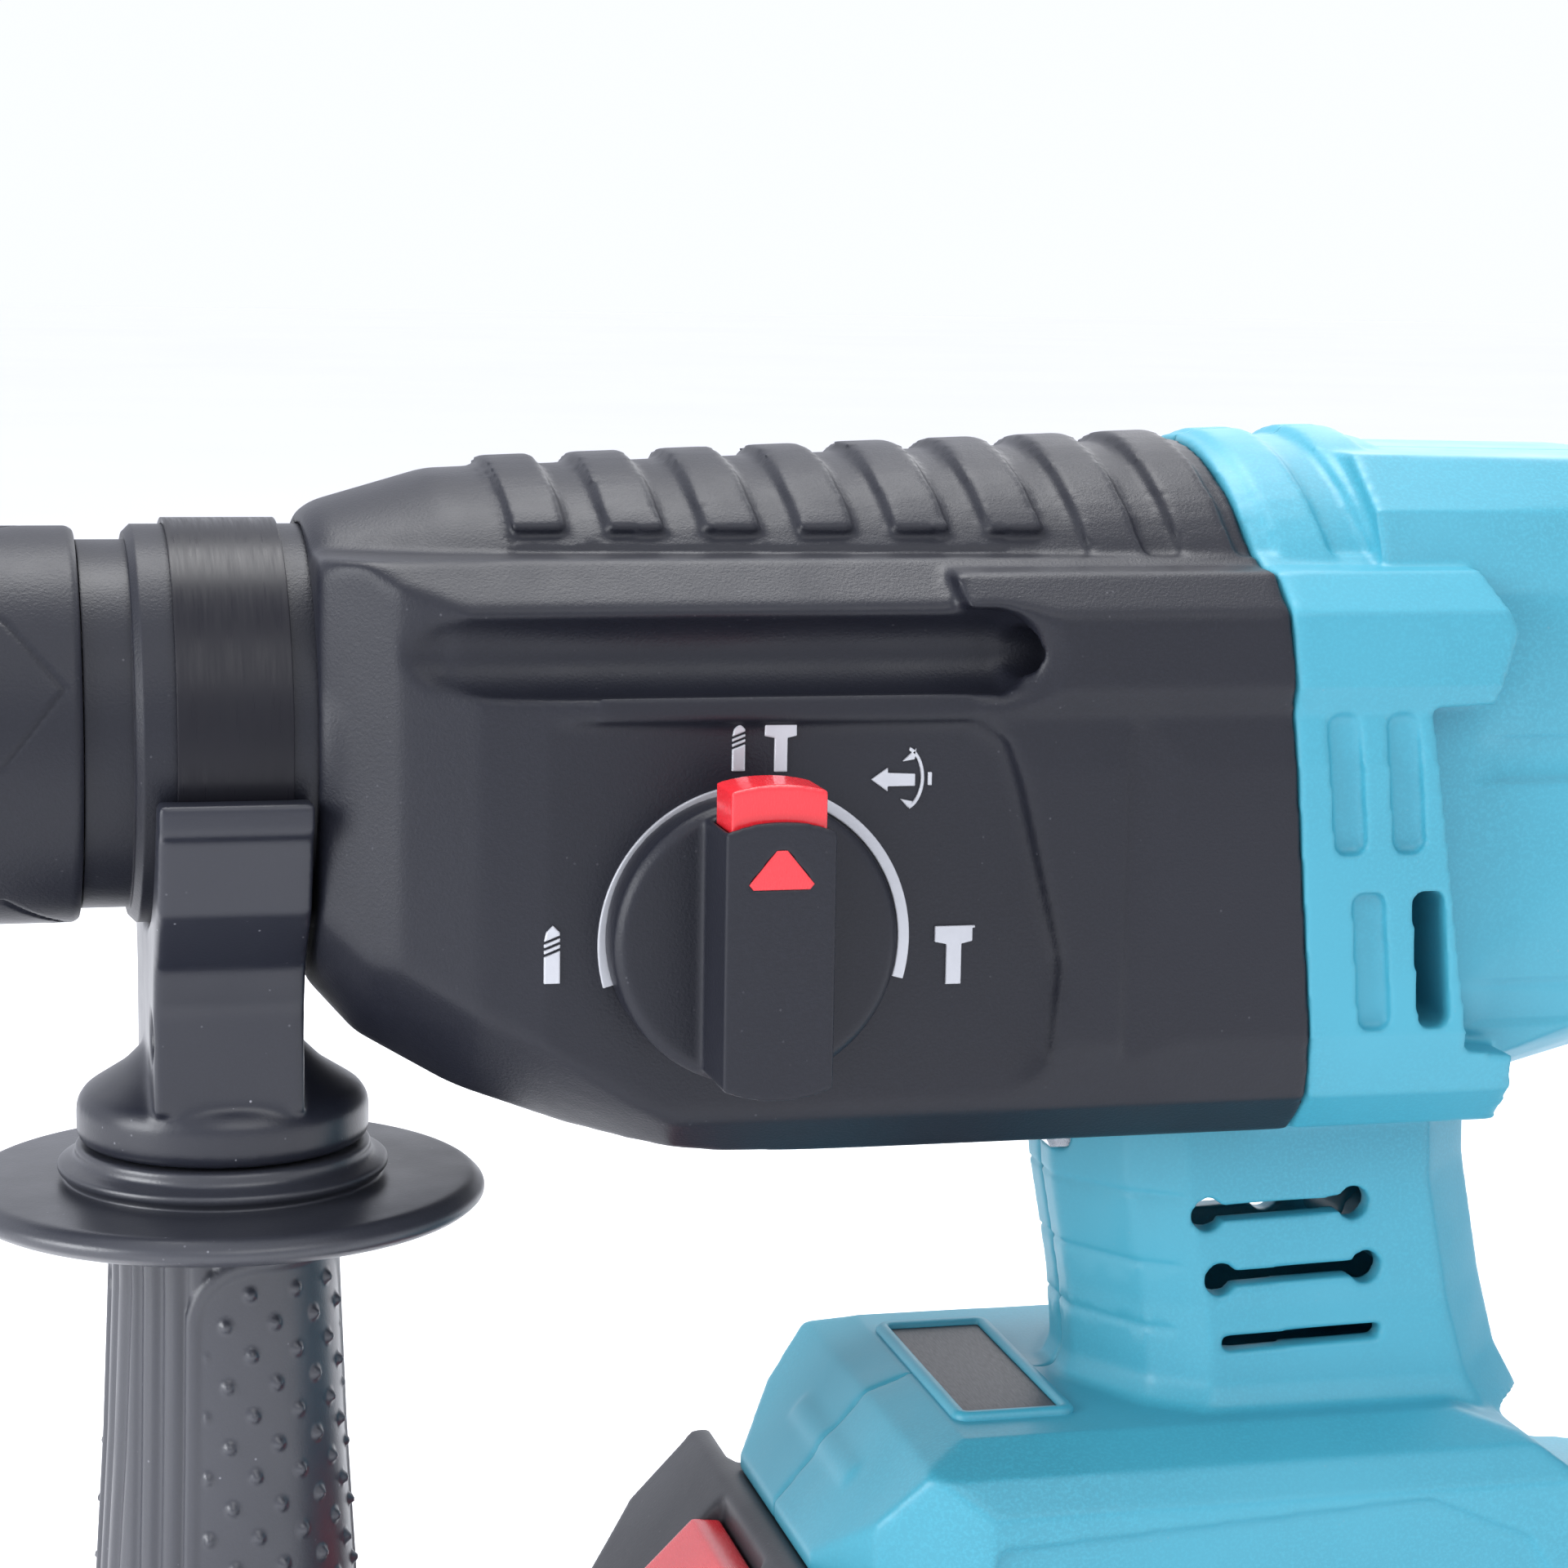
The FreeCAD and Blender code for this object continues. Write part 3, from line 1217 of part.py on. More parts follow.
def case_screw_places():
    return [(y, z) for y in (-30.0, 30.0) for z in (13.0, -41.5)]


def case_screw_bosses():
    return [rod_x(4.2, 176.0, 186.0, y, z) for y, z in case_screw_places()]


def main():
    os.makedirs("parts", exist_ok=True)
    bosses = [b.common(case_body(1.0)) for b in case_screw_bosses()]
    screw_holes = [rod_x(2.0 + FIT, 170, 200, y, z) for y, z in case_screw_places()]
    head_holes = [rod_x(3.7, 200, 213, y, z) for y, z in case_screw_places()]
    case = gear_case().fuse(bosses).cut(screw_holes)
    plate = bearing_plate().cut([rod_x(4.25, 170, 200, y, z) for y, z in case_screw_places()])
    whole = motor_housing().cut(screw_holes + head_holes)
    nodes = {
        "spindle": spindle(),
        "dust_cap": dust_cap(),
        "locking_balls": locking_balls(),
        "chuck_sleeve": chuck_sleeve(),
        "ball_ring": ball_ring(),
        "sleeve_spring": sleeve_spring(),
        "barrel": barrel(),
        "oil_seal": oil_seal(),
        "spindle_bearings": group([
            ball_bearing(56.0, 68.0, 19.0 - FIT, SPINDLE_R + 0.03, 0, 16),
            ball_bearing(118.6, 125.6, 20.0, SPINDLE_R + 0.03, 0, 18),
        ]),
        "impact_bolt": impact_bolt(),
        "striker": striker(),
        "striker_seal": o_ring(101.5),
        "piston": piston(),
        "piston_seal": o_ring(125.5),
        "piston_pin": piston_pin(),
        "wobble_ring": wobble_ring(),
        "wobble_hub": wobble_hub(),
        "intermediate_shaft": intermediate_shaft().cut(rod_x(0.8, 80, 190, 0, LAY_Z)),
        "driven_gear": driven_gear(),
        "spindle_gear": spindle_gear(),
        "clutch_spring": clutch_spring(),
        "shift_fork": shift_fork(),
        "shaft_bearings": group([
            ball_bearing(88.0, 94.0, 8.0, SHAFT_R + 0.03, LAY_Z, 7),
            ball_bearing(PLATE_X, PLATE_X + 5, 8.0, SHAFT_R + 0.03, LAY_Z, 7),
        ]),
        "gear_case": case,
        "bearing_plate": plate,
        "mode_knob": mode_knob(),
        "knob_pointer": knob_pointer(),
        "lock_button": lock_button(),
        "knob_spring": knob_spring(),
        "rotor_shaft": rotor_shaft(),
        "rotor_core": rotor_core(),
        "cooling_fan": cooling_fan(),
        "stator_core": stator_core(),
        "stator_windings": stator_windings(),
        "motor_bearings": group([
            ball_bearing(PLATE_X, PLATE_X + 5, 9.5, SHAFT_R + 0.03, ROTOR_Z, 7),
            ball_bearing(REAR_BEARING_X, REAR_BEARING_X + 6, 8.0, SHAFT_R + 0.03, ROTOR_Z, 7),
        ]),
        "housing_left": housing_half(whole, -1),
        "housing_right": housing_half(whole, 1),
        "grip_overmould": overmould_blank(),
        "housing_screws": housing_screws(),
        "case_screws": case_screws(),
        "display_panel": display_panel(),
        "led_lens": led_lens(),
        "trigger": trigger(),
        "trigger_spring": trigger_spring(),
        "direction_slider": direction_slider(),
        "switch_body": switch_body(),
        "controller_board": controller_board(),
        "terminal_block": terminal_block(),
        "battery_case_upper": battery_case_upper(),
        "battery_case_lower": battery_case_lower(),
        "battery_cells": battery_cells(),
        "cell_frame": cell_frame(),
        "battery_contacts": battery_contacts(),
        "release_button": release_button(),
        "release_spring": release_spring(),
        "clamp_band": clamp_band(),
        "handle_saddle": handle_saddle(),
        "clamp_bolt": clamp_bolt(),
        "side_grip": side_grip(),
        "grip_nut": grip_nut(),
    }
    for name, shape in nodes.items():
        shape.exportStep(f"parts/{name}.step")


main()
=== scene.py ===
import json
import math

import bpy
import bmesh
from mathutils import Matrix, Vector


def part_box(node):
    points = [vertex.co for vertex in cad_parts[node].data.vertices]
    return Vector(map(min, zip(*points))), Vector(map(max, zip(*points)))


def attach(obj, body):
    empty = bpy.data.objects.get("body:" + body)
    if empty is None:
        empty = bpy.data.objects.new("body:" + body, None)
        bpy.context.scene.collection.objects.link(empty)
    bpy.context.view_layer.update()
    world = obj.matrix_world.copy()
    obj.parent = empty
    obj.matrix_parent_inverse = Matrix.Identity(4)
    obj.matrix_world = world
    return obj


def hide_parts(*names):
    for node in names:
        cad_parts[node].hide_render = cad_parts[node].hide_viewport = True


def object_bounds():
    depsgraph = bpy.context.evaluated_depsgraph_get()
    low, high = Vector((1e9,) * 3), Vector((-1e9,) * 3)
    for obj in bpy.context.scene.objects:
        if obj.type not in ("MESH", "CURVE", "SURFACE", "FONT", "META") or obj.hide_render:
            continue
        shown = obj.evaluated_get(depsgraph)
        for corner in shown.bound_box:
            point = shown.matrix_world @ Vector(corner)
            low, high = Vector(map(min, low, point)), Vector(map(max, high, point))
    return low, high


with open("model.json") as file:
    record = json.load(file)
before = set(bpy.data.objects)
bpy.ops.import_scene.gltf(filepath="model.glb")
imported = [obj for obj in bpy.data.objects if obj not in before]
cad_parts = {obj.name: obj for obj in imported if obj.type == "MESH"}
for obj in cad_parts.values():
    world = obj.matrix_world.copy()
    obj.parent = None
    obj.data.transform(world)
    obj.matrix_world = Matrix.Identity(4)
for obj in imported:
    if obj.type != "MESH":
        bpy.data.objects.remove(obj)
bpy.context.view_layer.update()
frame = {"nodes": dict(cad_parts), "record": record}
MM = 0.001

# Colours, linear
TEAL = (0.045, 0.28, 0.375)
BLACK = (0.0095, 0.0104, 0.0160)
SOFT_BLACK = (0.0135, 0.0150, 0.0230)
# Side grip colour: the handle's plastic painted about twice as light, a painted sheen, since the grip is
# the same plastic as the handle's disc.
GRIP_BLACK_PAINTED_SHEEN = (0.027, 0.029, 0.038)
RED = (0.72, 0.018, 0.028)
SILVER = (0.50, 0.51, 0.54)
DUST = (0.30, 0.30, 0.33)


# ---------------------------------------------------------------- materials


class Nodes:
    """Short names for building one material's nodes."""

    def __init__(self, name):
        self.material = bpy.data.materials.new(name)
        self.material.use_nodes = True
        self.tree = self.material.node_tree
        self.shader = self.tree.nodes["Principled BSDF"]
        self.place = self.add("ShaderNodeTexCoord").outputs["Object"]

    def add(self, kind, **values):
        node = self.tree.nodes.new(kind)
        for key, value in values.items():
            setattr(node, key, value)
        return node

    def link(self, start, end):
        self.tree.links.new(start, end)

    def stretched(self, scale):
        node = self.add("ShaderNodeMapping")
        node.inputs["Scale"].default_value = scale
        self.link(self.place, node.inputs["Vector"])
        return node.outputs["Vector"]

    def noise(self, scale, detail=4.0, rough=0.55, place=None):
        node = self.add("ShaderNodeTexNoise")
        node.inputs["Scale"].default_value = scale
        node.inputs["Detail"].default_value = detail
        node.inputs["Roughness"].default_value = rough
        self.link(place or self.place, node.inputs["Vector"])
        return node.outputs["Fac"]

    def cells(self, scale):
        node = self.add("ShaderNodeTexVoronoi")
        node.inputs["Scale"].default_value = scale
        self.link(self.place, node.inputs["Vector"])
        return node.outputs["Distance"]

    def ramp(self, factor, stops):
        node = self.add("ShaderNodeValToRGB")
        band = node.color_ramp
        while len(band.elements) < len(stops):
            band.elements.new(0.5)
        for element, (place, colour) in zip(band.elements, stops):
            element.position = place
            element.color = (*colour, 1.0)
        self.link(factor, node.inputs["Fac"])
        return node.outputs["Color"]

    def remap(self, value, low, high, to_low, to_high):
        node = self.add("ShaderNodeMapRange")
        for key, number in zip(("From Min", "From Max", "To Min", "To Max"), (low, high, to_low, to_high)):
            node.inputs[key].default_value = number
        self.link(value, node.inputs["Value"])
        return node.outputs["Result"]

    def mixed(self, factor, first, second, blend="MIX"):
        node = self.add("ShaderNodeMix", data_type="RGBA", blend_type=blend)
        self.link(factor, node.inputs[0])
        for socket, value in ((node.inputs[6], first), (node.inputs[7], second)):
            if isinstance(value, tuple):
                socket.default_value = (*value, 1.0)
            else:
                self.link(value, socket)
        return node.outputs[2]

    def times(self, first, second):
        node = self.add("ShaderNodeMath", operation="MULTIPLY")
        self.link(first, node.inputs[0])
        self.link(second, node.inputs[1])
        return node.outputs[0]

    def edges(self, radius):
        """1 along edges sharper than the bevel's radius, 0 on open faces."""
        bevel = self.add("ShaderNodeBevel", samples=4)
        bevel.inputs["Radius"].default_value = radius
        surface = self.add("ShaderNodeNewGeometry")
        dot = self.add("ShaderNodeVectorMath", operation="DOT_PRODUCT")
        self.link(bevel.outputs["Normal"], dot.inputs[0])
        self.link(surface.outputs["Normal"], dot.inputs[1])
        return self.remap(dot.outputs["Value"], 0.97, 0.86, 0.0, 1.0)

    def bump(self, height, strength, distance, radius=0.0):
        node = self.add("ShaderNodeBump")
        node.inputs["Strength"].default_value = strength
        node.inputs["Distance"].default_value = distance
        self.link(height, node.inputs["Height"])
        if radius:
            bevel = self.add("ShaderNodeBevel", samples=4)
            bevel.inputs["Radius"].default_value = radius
            self.link(bevel.outputs["Normal"], node.inputs["Normal"])
        self.link(node.outputs["Normal"], self.shader.inputs["Normal"])

    def set(self, **values):
        for key, value in values.items():
            self.shader.inputs[key.replace("_", " ")].default_value = value


def lighter(colour, factor):
    return tuple(min(1.0, channel * factor) for channel in colour)


def plastic(name, colour, rough, grain=2600.0, depth=0.00006, strength=0.35, painted_edge_highlight=1.5,
            edge=0.0004, dust=0.15, shine=0.5):
    """Moulded plastic: spark-eroded grain, faint flow marks, a painted highlight along the edges that is
    paler in patches, and dust specks.
    """
    n = Nodes(name)
    flow = n.noise(22.0, 3.0)
    tone = n.ramp(flow, [(0.35, lighter(colour, 0.93)), (0.65, lighter(colour, 1.07))])
    grain_height = n.noise(grain, 2.0, 0.6)
    peaks = n.remap(grain_height, 0.45, 0.65, 0.0, 1.0)
    base = n.mixed(peaks, tone, lighter(colour, 1.0 + 1.6 * depth / MM))
    # Painted highlight: sharp edges are painted paler, in patches, to stand in for rim highlights of the
    # lights.
    pale_edges = n.times(n.edges(edge), n.remap(n.noise(260.0), 0.42, 0.62, 0.0, 0.8))
    with_painted_edge_highlight = n.mixed(pale_edges, base, lighter(colour, painted_edge_highlight))
    patches = n.remap(n.noise(90.0), 0.5, 0.65, 0.0, 1.0)
    specks = n.times(n.remap(n.cells(520.0), 0.10, 0.04, 0.0, dust), patches)
    n.link(n.mixed(specks, with_painted_edge_highlight, DUST), n.shader.inputs["Base Color"])
    dull = n.remap(n.noise(70.0, 5.0), 0.3, 0.7, rough - 0.05, rough + 0.06)
    n.link(dull, n.shader.inputs["Roughness"])
    n.set(Specular_IOR_Level=shine)
    n.bump(grain_height, strength, depth, edge)
    return n.material


def rubber(name, colour, rough=0.72):
    """Soft rubber: dull, with a bloom of paler dust."""
    n = Nodes(name)
    bloom = n.noise(60.0, 6.0, 0.65)
    n.link(n.ramp(bloom, [(0.4, colour), (0.75, lighter(colour, 1.6))]), n.shader.inputs["Base Color"])
    n.link(n.remap(n.noise(300.0), 0.3, 0.7, rough - 0.08, rough + 0.08), n.shader.inputs["Roughness"])
    n.set(Sheen_Weight=0.15)
    n.bump(n.noise(3500.0, 2.0), 0.4, 0.00005, 0.0003)
    return n.material


def metal(name, colour, rough, stretch=(60.0, 900.0, 900.0), metallic=1.0, depth=0.00003):
    """Drawn, ground or cast metal with lay marks along one direction."""
    n = Nodes(name)
    place = n.stretched(stretch)
    marks = n.noise(4.0, 5.0, 0.6, place)
    stains = n.noise(45.0, 5.0)
    base = n.ramp(stains, [(0.3, lighter(colour, 0.82)), (0.7, lighter(colour, 1.08))])
    pale_edges = n.times(n.edges(0.0003), n.remap(n.noise(300.0), 0.4, 0.6, 0.0, 0.7))
    n.link(n.mixed(pale_edges, base, lighter(colour, 1.5)), n.shader.inputs["Base Color"])
    n.link(n.remap(marks, 0.3, 0.7, rough - 0.08, rough + 0.1), n.shader.inputs["Roughness"])
    n.set(Metallic=metallic, Specular_IOR_Level=0.2 + 0.3 * metallic)
    n.bump(marks, 0.25, depth, 0.0003)
    return n.material


def glossy(name, colour, rough=0.22, coat=0.4, see_through=0.0):
    """Polished plastic with faint sink marks and fine scratches."""
    n = Nodes(name)
    base = n.ramp(n.noise(35.0, 3.0), [(0.3, lighter(colour, 0.9)), (0.7, lighter(colour, 1.06))])
    n.link(base, n.shader.inputs["Base Color"])
    scratches = n.noise(6.0, 4.0, 0.6, n.stretched((900.0, 90.0, 240.0)))
    n.link(n.remap(scratches, 0.3, 0.7, rough - 0.05, rough + 0.08), n.shader.inputs["Roughness"])
    n.set(Coat_Weight=coat, Coat_Roughness=0.12, Transmission_Weight=see_through)
    n.bump(n.noise(500.0, 3.0), 0.12, 0.00004, 0.0004)
    return n.material


def wound_wire(name, colour):
    """Enamelled copper wire laid side by side, with painted shade in the gaps between the turns."""
    n = Nodes(name)
    wave = n.add("ShaderNodeTexWave", bands_direction="Y")
    wave.inputs["Scale"].default_value = 900.0
    wave.inputs["Distortion"].default_value = 1.5
    n.link(n.place, wave.inputs["Vector"])
    # Painted shade: the colour darkens in the gaps between the turns, where shade falls.
    copper_and_painted_gap_shade = [(0.1, lighter(colour, 0.45)), (0.7, colour)]
    n.link(n.ramp(wave.outputs["Fac"], copper_and_painted_gap_shade), n.shader.inputs["Base Color"])
    n.link(n.remap(n.noise(200.0), 0.3, 0.7, 0.25, 0.45), n.shader.inputs["Roughness"])
    n.set(Metallic=0.85)
    n.bump(wave.outputs["Fac"], 0.5, 0.0002)
    return n.material


def floor_material():
    n = Nodes("studio_floor")
    tone = n.noise(2.0, 2.0)
    base = n.ramp(tone, [(0.3, (0.90, 0.90, 0.915)), (0.7, (0.92, 0.92, 0.93))])
    n.link(base, n.shader.inputs["Base Color"])
    n.set(Roughness=0.65, Specular_IOR_Level=0.2)
    n.set(Emission_Color=(0.95, 0.96, 1.0, 1.0), Emission_Strength=0.08)
    return n.material


# The seventh argument of plastic() sets how much paler its edges are painted, a painted edge highlight.
FINISH = {
    "teal_plastic": plastic("teal_plastic", TEAL, 0.42, 2300.0, 0.00005, 0.3, 1.12, 0.0006),
    "black_plastic": plastic("black_plastic", BLACK, 0.42, 2600.0, 0.00009, 0.5, 2.6, 0.0004, 0.15, 0.32),
    "handle_plastic": plastic("handle_plastic", SOFT_BLACK, 0.33, 3200.0, 0.00005, 0.3, 2.4, dust=0.9),
    # Lighter copy of the handle plastic for the side grip: its paler colour is a painted sheen.
    "grip_plastic_painted_sheen": plastic("grip_plastic_painted_sheen", GRIP_BLACK_PAINTED_SHEEN, 0.34, 3000.0, 0.00006, 0.35, 2.0, 0.0004, 0.6, 0.7),
    "pack_plastic": plastic("pack_plastic", (0.026, 0.027, 0.033), 0.5, 2400.0, 0.00007, 0.4, 2.2),
    "switch_plastic": plastic("switch_plastic", (0.03, 0.03, 0.033), 0.5),
    "grip_rubber": rubber("grip_rubber", (0.024, 0.024, 0.028)),
    "seal_rubber": rubber("seal_rubber", (0.018, 0.018, 0.019), 0.65),
    "black_steel": metal("black_steel", (0.011, 0.011, 0.015), 0.32, (500.0, 30.0, 30.0), 0.0, 0.00002),
    "steel": metal("steel", (0.52, 0.52, 0.54), 0.3),
    "spring_steel": metal("spring_steel", (0.36, 0.36, 0.38), 0.34, (300.0, 300.0, 300.0)),
    "cast_alloy": metal("cast_alloy", (0.56, 0.57, 0.59), 0.45, (400.0, 400.0, 400.0), 1.0, 0.0001),
    "copper_wire": wound_wire("copper_wire", (0.62, 0.24, 0.10)),
    "red_plastic": glossy("red_plastic", RED, 0.24),
    "display_grey": glossy("display_grey", (0.02, 0.021, 0.027), 0.42, 0.0),
    "clear_lens": glossy("clear_lens", (0.8, 0.84, 0.9), 0.12, 0.3, 0.75),
    "board_green": glossy("board_green", (0.02, 0.14, 0.06), 0.35),
    "cell_wrap": glossy("cell_wrap", (0.04, 0.14, 0.38), 0.3),
    "contact_metal": metal("contact_metal", (0.75, 0.55, 0.25), 0.28),
}
PRINT = metal("silver_print", SILVER, 0.42, (700.0, 700.0, 700.0), 0.55, 0.00003)


def dress_frame():
    for part in frame["record"]["subparts"]:
        shown = frame["nodes"][part["node"]]
        shown.data.materials.clear()
        shown.data.materials.append(FINISH[part["material_slot"]])


# ---------------------------------------------------------------- pieces


def linked(name, mesh, material):
    piece = bpy.data.objects.new(name, mesh)
    bpy.context.scene.collection.objects.link(piece)
    mesh.materials.clear()
    mesh.materials.append(material)
    for face in mesh.polygons:
        face.use_smooth = True
    return piece


def applied(piece):
    """Turns the piece's modifiers into mesh."""
    bpy.context.view_layer.update()
    graph = bpy.context.evaluated_depsgraph_get()
    mesh = bpy.data.meshes.new_from_object(piece.evaluated_get(graph))
    material = piece.data.materials[0]
    piece.modifiers.clear()
    piece.data = mesh
    mesh.materials.clear()
    mesh.materials.append(material)
    for face in mesh.polygons:
        face.use_smooth = True
    return piece


def faded(value, low, high):
    """0 below low, 1 above high, smooth between."""
    t = min(1.0, max(0.0, (value - low) / (high - low)))
    return t * t * (3.0 - 2.0 * t)


def smoothed(piece, rounds, weight=None):
    """Laplacian smoothing; weight(point in mm) says how much of it each place gets."""
    modifier = piece.modifiers.new("smooth", "SMOOTH")
    modifier.factor = 0.5
    modifier.iterations = rounds
    if weight:
        group = piece.vertex_groups.new(name="soft")
        for vertex in piece.data.vertices:
            group.add([vertex.index], weight(vertex.co / MM), "REPLACE")
        modifier.vertex_group = "soft"
    return applied(piece)


def joined_mesh(name, nodes):
    whole = bmesh.new()
    for node in nodes:
        whole.from_mesh(frame["nodes"][node].data)
    mesh = bpy.data.meshes.new(name)
    whole.to_mesh(mesh)
    whole.free()
    return mesh


def declared(piece, body, slot, *nodes):
    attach(piece, body)
    if nodes:
        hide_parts(*nodes)
    return piece


def carved(piece, depth_at):
    """Sinks the surface along its normal by depth_at(point, normal), in mm."""
    moves = []
    for vertex in piece.data.vertices:
        depth = depth_at(vertex.co / MM, vertex.normal)
        if depth:
            moves.append((vertex, vertex.co - vertex.normal * depth * MM))
    for vertex, place in moves:
        vertex.co = place


MOST_TRIANGLES = 190000


def moulded(node, body, slot, voxel, rounds, weight=None, carve=None):
    """Copy of a CAD node, remeshed finely so that its moulded edges are softly rounded."""
    piece = linked(node + "_moulded", joined_mesh(node + "_moulded", [node]), FINISH[slot])
    remesh = piece.modifiers.new("remesh", "REMESH")
    remesh.mode = "VOXEL"
    remesh.voxel_size = voxel * MM
    applied(piece)
    smoothed(piece, 2)
    smoothed(piece, rounds, weight)
    if carve:
        carved(piece, carve)
    triangles = 2 * len(piece.data.polygons)
    if triangles > MOST_TRIANGLES:
        thin = piece.modifiers.new("thin", "DECIMATE")
        thin.ratio = MOST_TRIANGLES / triangles
        applied(piece)
    return declared(piece, body, slot, node)


def resampled(outline, step):
    """Points of a polyline at steps no longer than step(point); its corners stay."""
    points = []
    for (a0, b0), (a1, b1) in zip(outline, outline[1:]):
        length = math.hypot(a1 - a0, b1 - b0)
        count = max(1, math.ceil(length / step((a0 + a1) / 2)))
        for n in range(count):
            points.append((a0 + (a1 - a0) * n / count, b0 + (b1 - b0) * n / count))
    points.append(outline[-1])
    return points


def rounded_outline(outline, radius, arc=4):
    """Closed or open outline whose inner corners are cut back and arced."""
    points = [outline[0]]
    for before, corner, after in zip(outline, outline[1:], outline[2:]):
        corner = Vector(corner)
        to_before = Vector(before) - corner
        to_after = Vector(after) - corner
        reach = min(radius, 0.45 * to_before.length, 0.45 * to_after.length)
        start = corner + to_before.normalized() * reach
        end = corner + to_after.normalized() * reach
        for n in range(arc + 1):
            t = n / arc
            points.append(tuple((1 - t) ** 2 * start + 2 * t * (1 - t) * corner + t * t * end))
    points.append(outline[-1])
    return points


def ring_faces(row, after, count):
    """Faces between two closed rows of count vertices each."""
    faces = []
    for n in range(count):
        m = (n + 1) % count
        faces.append((row * count + n, row * count + m, after * count + m, after * count + n))
    return faces


def outward_mesh(name, vertices, faces, merge=0.0):
    """Mesh whose normals point outwards, with vertices closer than merge joined."""
    mesh = bpy.data.meshes.new(name)
    mesh.from_pydata(vertices, [], faces)
    shape = bmesh.new()
    shape.from_mesh(mesh)
    if merge:
        bmesh.ops.remove_doubles(shape, verts=shape.verts, dist=merge)
    bmesh.ops.recalc_face_normals(shape, faces=shape.faces)
    shape.to_mesh(mesh)
    shape.free()
    return mesh


def revolved(name, outline, columns, place, height, material):
    """Surface turned from an outline (station, radius); height adds relief to its radius."""
    vertices = []
    for station, radius in outline:
        for n in range(columns):
            angle = 2 * math.pi * n / columns
            vertices.append(place(station, radius + height(station, angle, radius), angle))
    faces = []
    for row in range(len(outline) - 1):
        faces += ring_faces(row, row + 1, columns)
    return linked(name, outward_mesh(name, vertices, faces, 1e-7), material)


def about_x(station, radius, angle):
    """Angle 0 points to -Y and rises towards +Z."""
    return (station * MM, -radius * math.cos(angle) * MM, radius * math.sin(angle) * MM)


def about_handle(station, radius, angle):
    """Angle 0 points to -Y and turns towards +X."""
    x = HANDLE_X + radius * math.sin(angle)
    return (x * MM, -radius * math.cos(angle) * MM, station * MM)


def flat(name, outlines, y0, y1, material):
    """Plates cut from (x, z) outlines, bevelled and standing between two y values, in mm."""
    shape = bmesh.new()
    for outline in outlines:
        corners = [shape.verts.new((x * MM, y0 * MM, z * MM)) for x, z in outline]
        face = shape.faces.new(corners)
        grown = bmesh.ops.extrude_face_region(shape, geom=[face])
        moved = [v for v in grown["geom"] if isinstance(v, bmesh.types.BMVert)]
        bmesh.ops.translate(shape, verts=moved, vec=(0, (y1 - y0) * MM, 0))
    bmesh.ops.recalc_face_normals(shape, faces=shape.faces)
    mesh = bpy.data.meshes.new(name)
    shape.to_mesh(mesh)
    shape.free()
    piece = linked(name, mesh, material)
    edge = piece.modifiers.new("edge", "BEVEL")
    edge.width = PRINT_BEVEL * MM
    edge.segments = 2
    edge.angle_limit = math.radians(30)
    applied(piece)
    for face in piece.data.polygons:
        face.use_smooth = False
    return piece


def signed_angle(angle):
    return (angle + math.pi) % (2 * math.pi) - math.pi


# ---------------------------------------------------------------- chuck and side handle

HANDLE_X = 65.0
SLEEVE_MARKS = 4
MARK_TILT = math.radians(17.0)
MARK_WIDE = math.radians(21.0)
MARK_TIP = 45.2
MARK_CORNER = 38.2
MARK_MIDDLE = 22.0
SLEEVE_SKIN = 19.5
LINE_HALF = 0.45
LINE_DEPTH = 0.28
SLEEVE_STEP = 0.35
SLEEVE_COLUMNS = 480


def line_groove(distance):
    return LINE_DEPTH * (1.0 - faded(abs(distance), LINE_HALF * 0.4, LINE_HALF))


def sleeve_relief(station, angle, radius):
    """Engraved long hexagons round the sleeve."""
    if radius < SLEEVE_SKIN:
        return 0.0
    pitch = 2 * math.pi / SLEEVE_MARKS
    turn = (signed_angle(angle - MARK_TILT) + pitch / 2) % pitch - pitch / 2
    across = abs(turn) / MARK_WIDE
    edge = MARK_TIP - MARK_MIDDLE - (MARK_TIP - MARK_CORNER) * across
    depth = 0.0
    if across <= 1.0:
        depth = line_groove(abs(station - MARK_MIDDLE) - edge)
    if abs(station - MARK_MIDDLE) < MARK_CORNER - MARK_MIDDLE:
        depth = max(depth, line_groove((across - 1.0) * MARK_WIDE * radius))
    return -depth


def chuck_sleeve():
    outline = rounded_outline([
        (12.0, 13.2), (4.0, 13.2), (4.0, 17.4), (5.4, 19.0), (9.0, 20.6), (30.0, 23.3),
        (33.5, 24.3), (46.5, 24.3), (47.3, 23.8), (47.3, 23.1), (31.0, 23.1), (31.0, 19.05),
        (12.0, 19.05), (12.0, 13.2),
    ], 0.45)
    points = resampled(outline, lambda station: SLEEVE_STEP)
    material = FINISH["black_plastic"]
    sleeve = revolved("chuck_sleeve_turned", points, SLEEVE_COLUMNS, about_x, sleeve_relief, material)
    return declared(sleeve, "sleeve", "black_plastic", "chuck_sleeve")


DIMPLE_PITCH = 7.7
DIMPLE_COLUMN = 3.1
DIMPLE_R = 1.05
DIMPLE_RISE = 0.75
PANEL_TURN = math.radians(33.0)
PANEL_HALF = math.radians(58.0)
PANEL_TOP = -64.5
PANEL_LOW = -156.0
PANEL_CORNER = 9.0
GRIP_TOP = -61.0
GRIP_LOW = -160.0
GRIP_SKIN = 13.0
GRIP_COLUMNS = 300
RIDGE_PITCH = 3.4
RIDGE_DEPTH = 0.55


def dimple(station, across):
    """Height of the staggered round dimples at a place on the unrolled grip."""
    column = round(across / DIMPLE_COLUMN)
    shift = 0.5 * (column % 2)
    row = round(station / DIMPLE_PITCH - shift) + shift
    away = math.hypot(across - column * DIMPLE_COLUMN, station - row * DIMPLE_PITCH)
    return DIMPLE_RISE * (1.0 - faded(away, 0.25 * DIMPLE_R, DIMPLE_R))


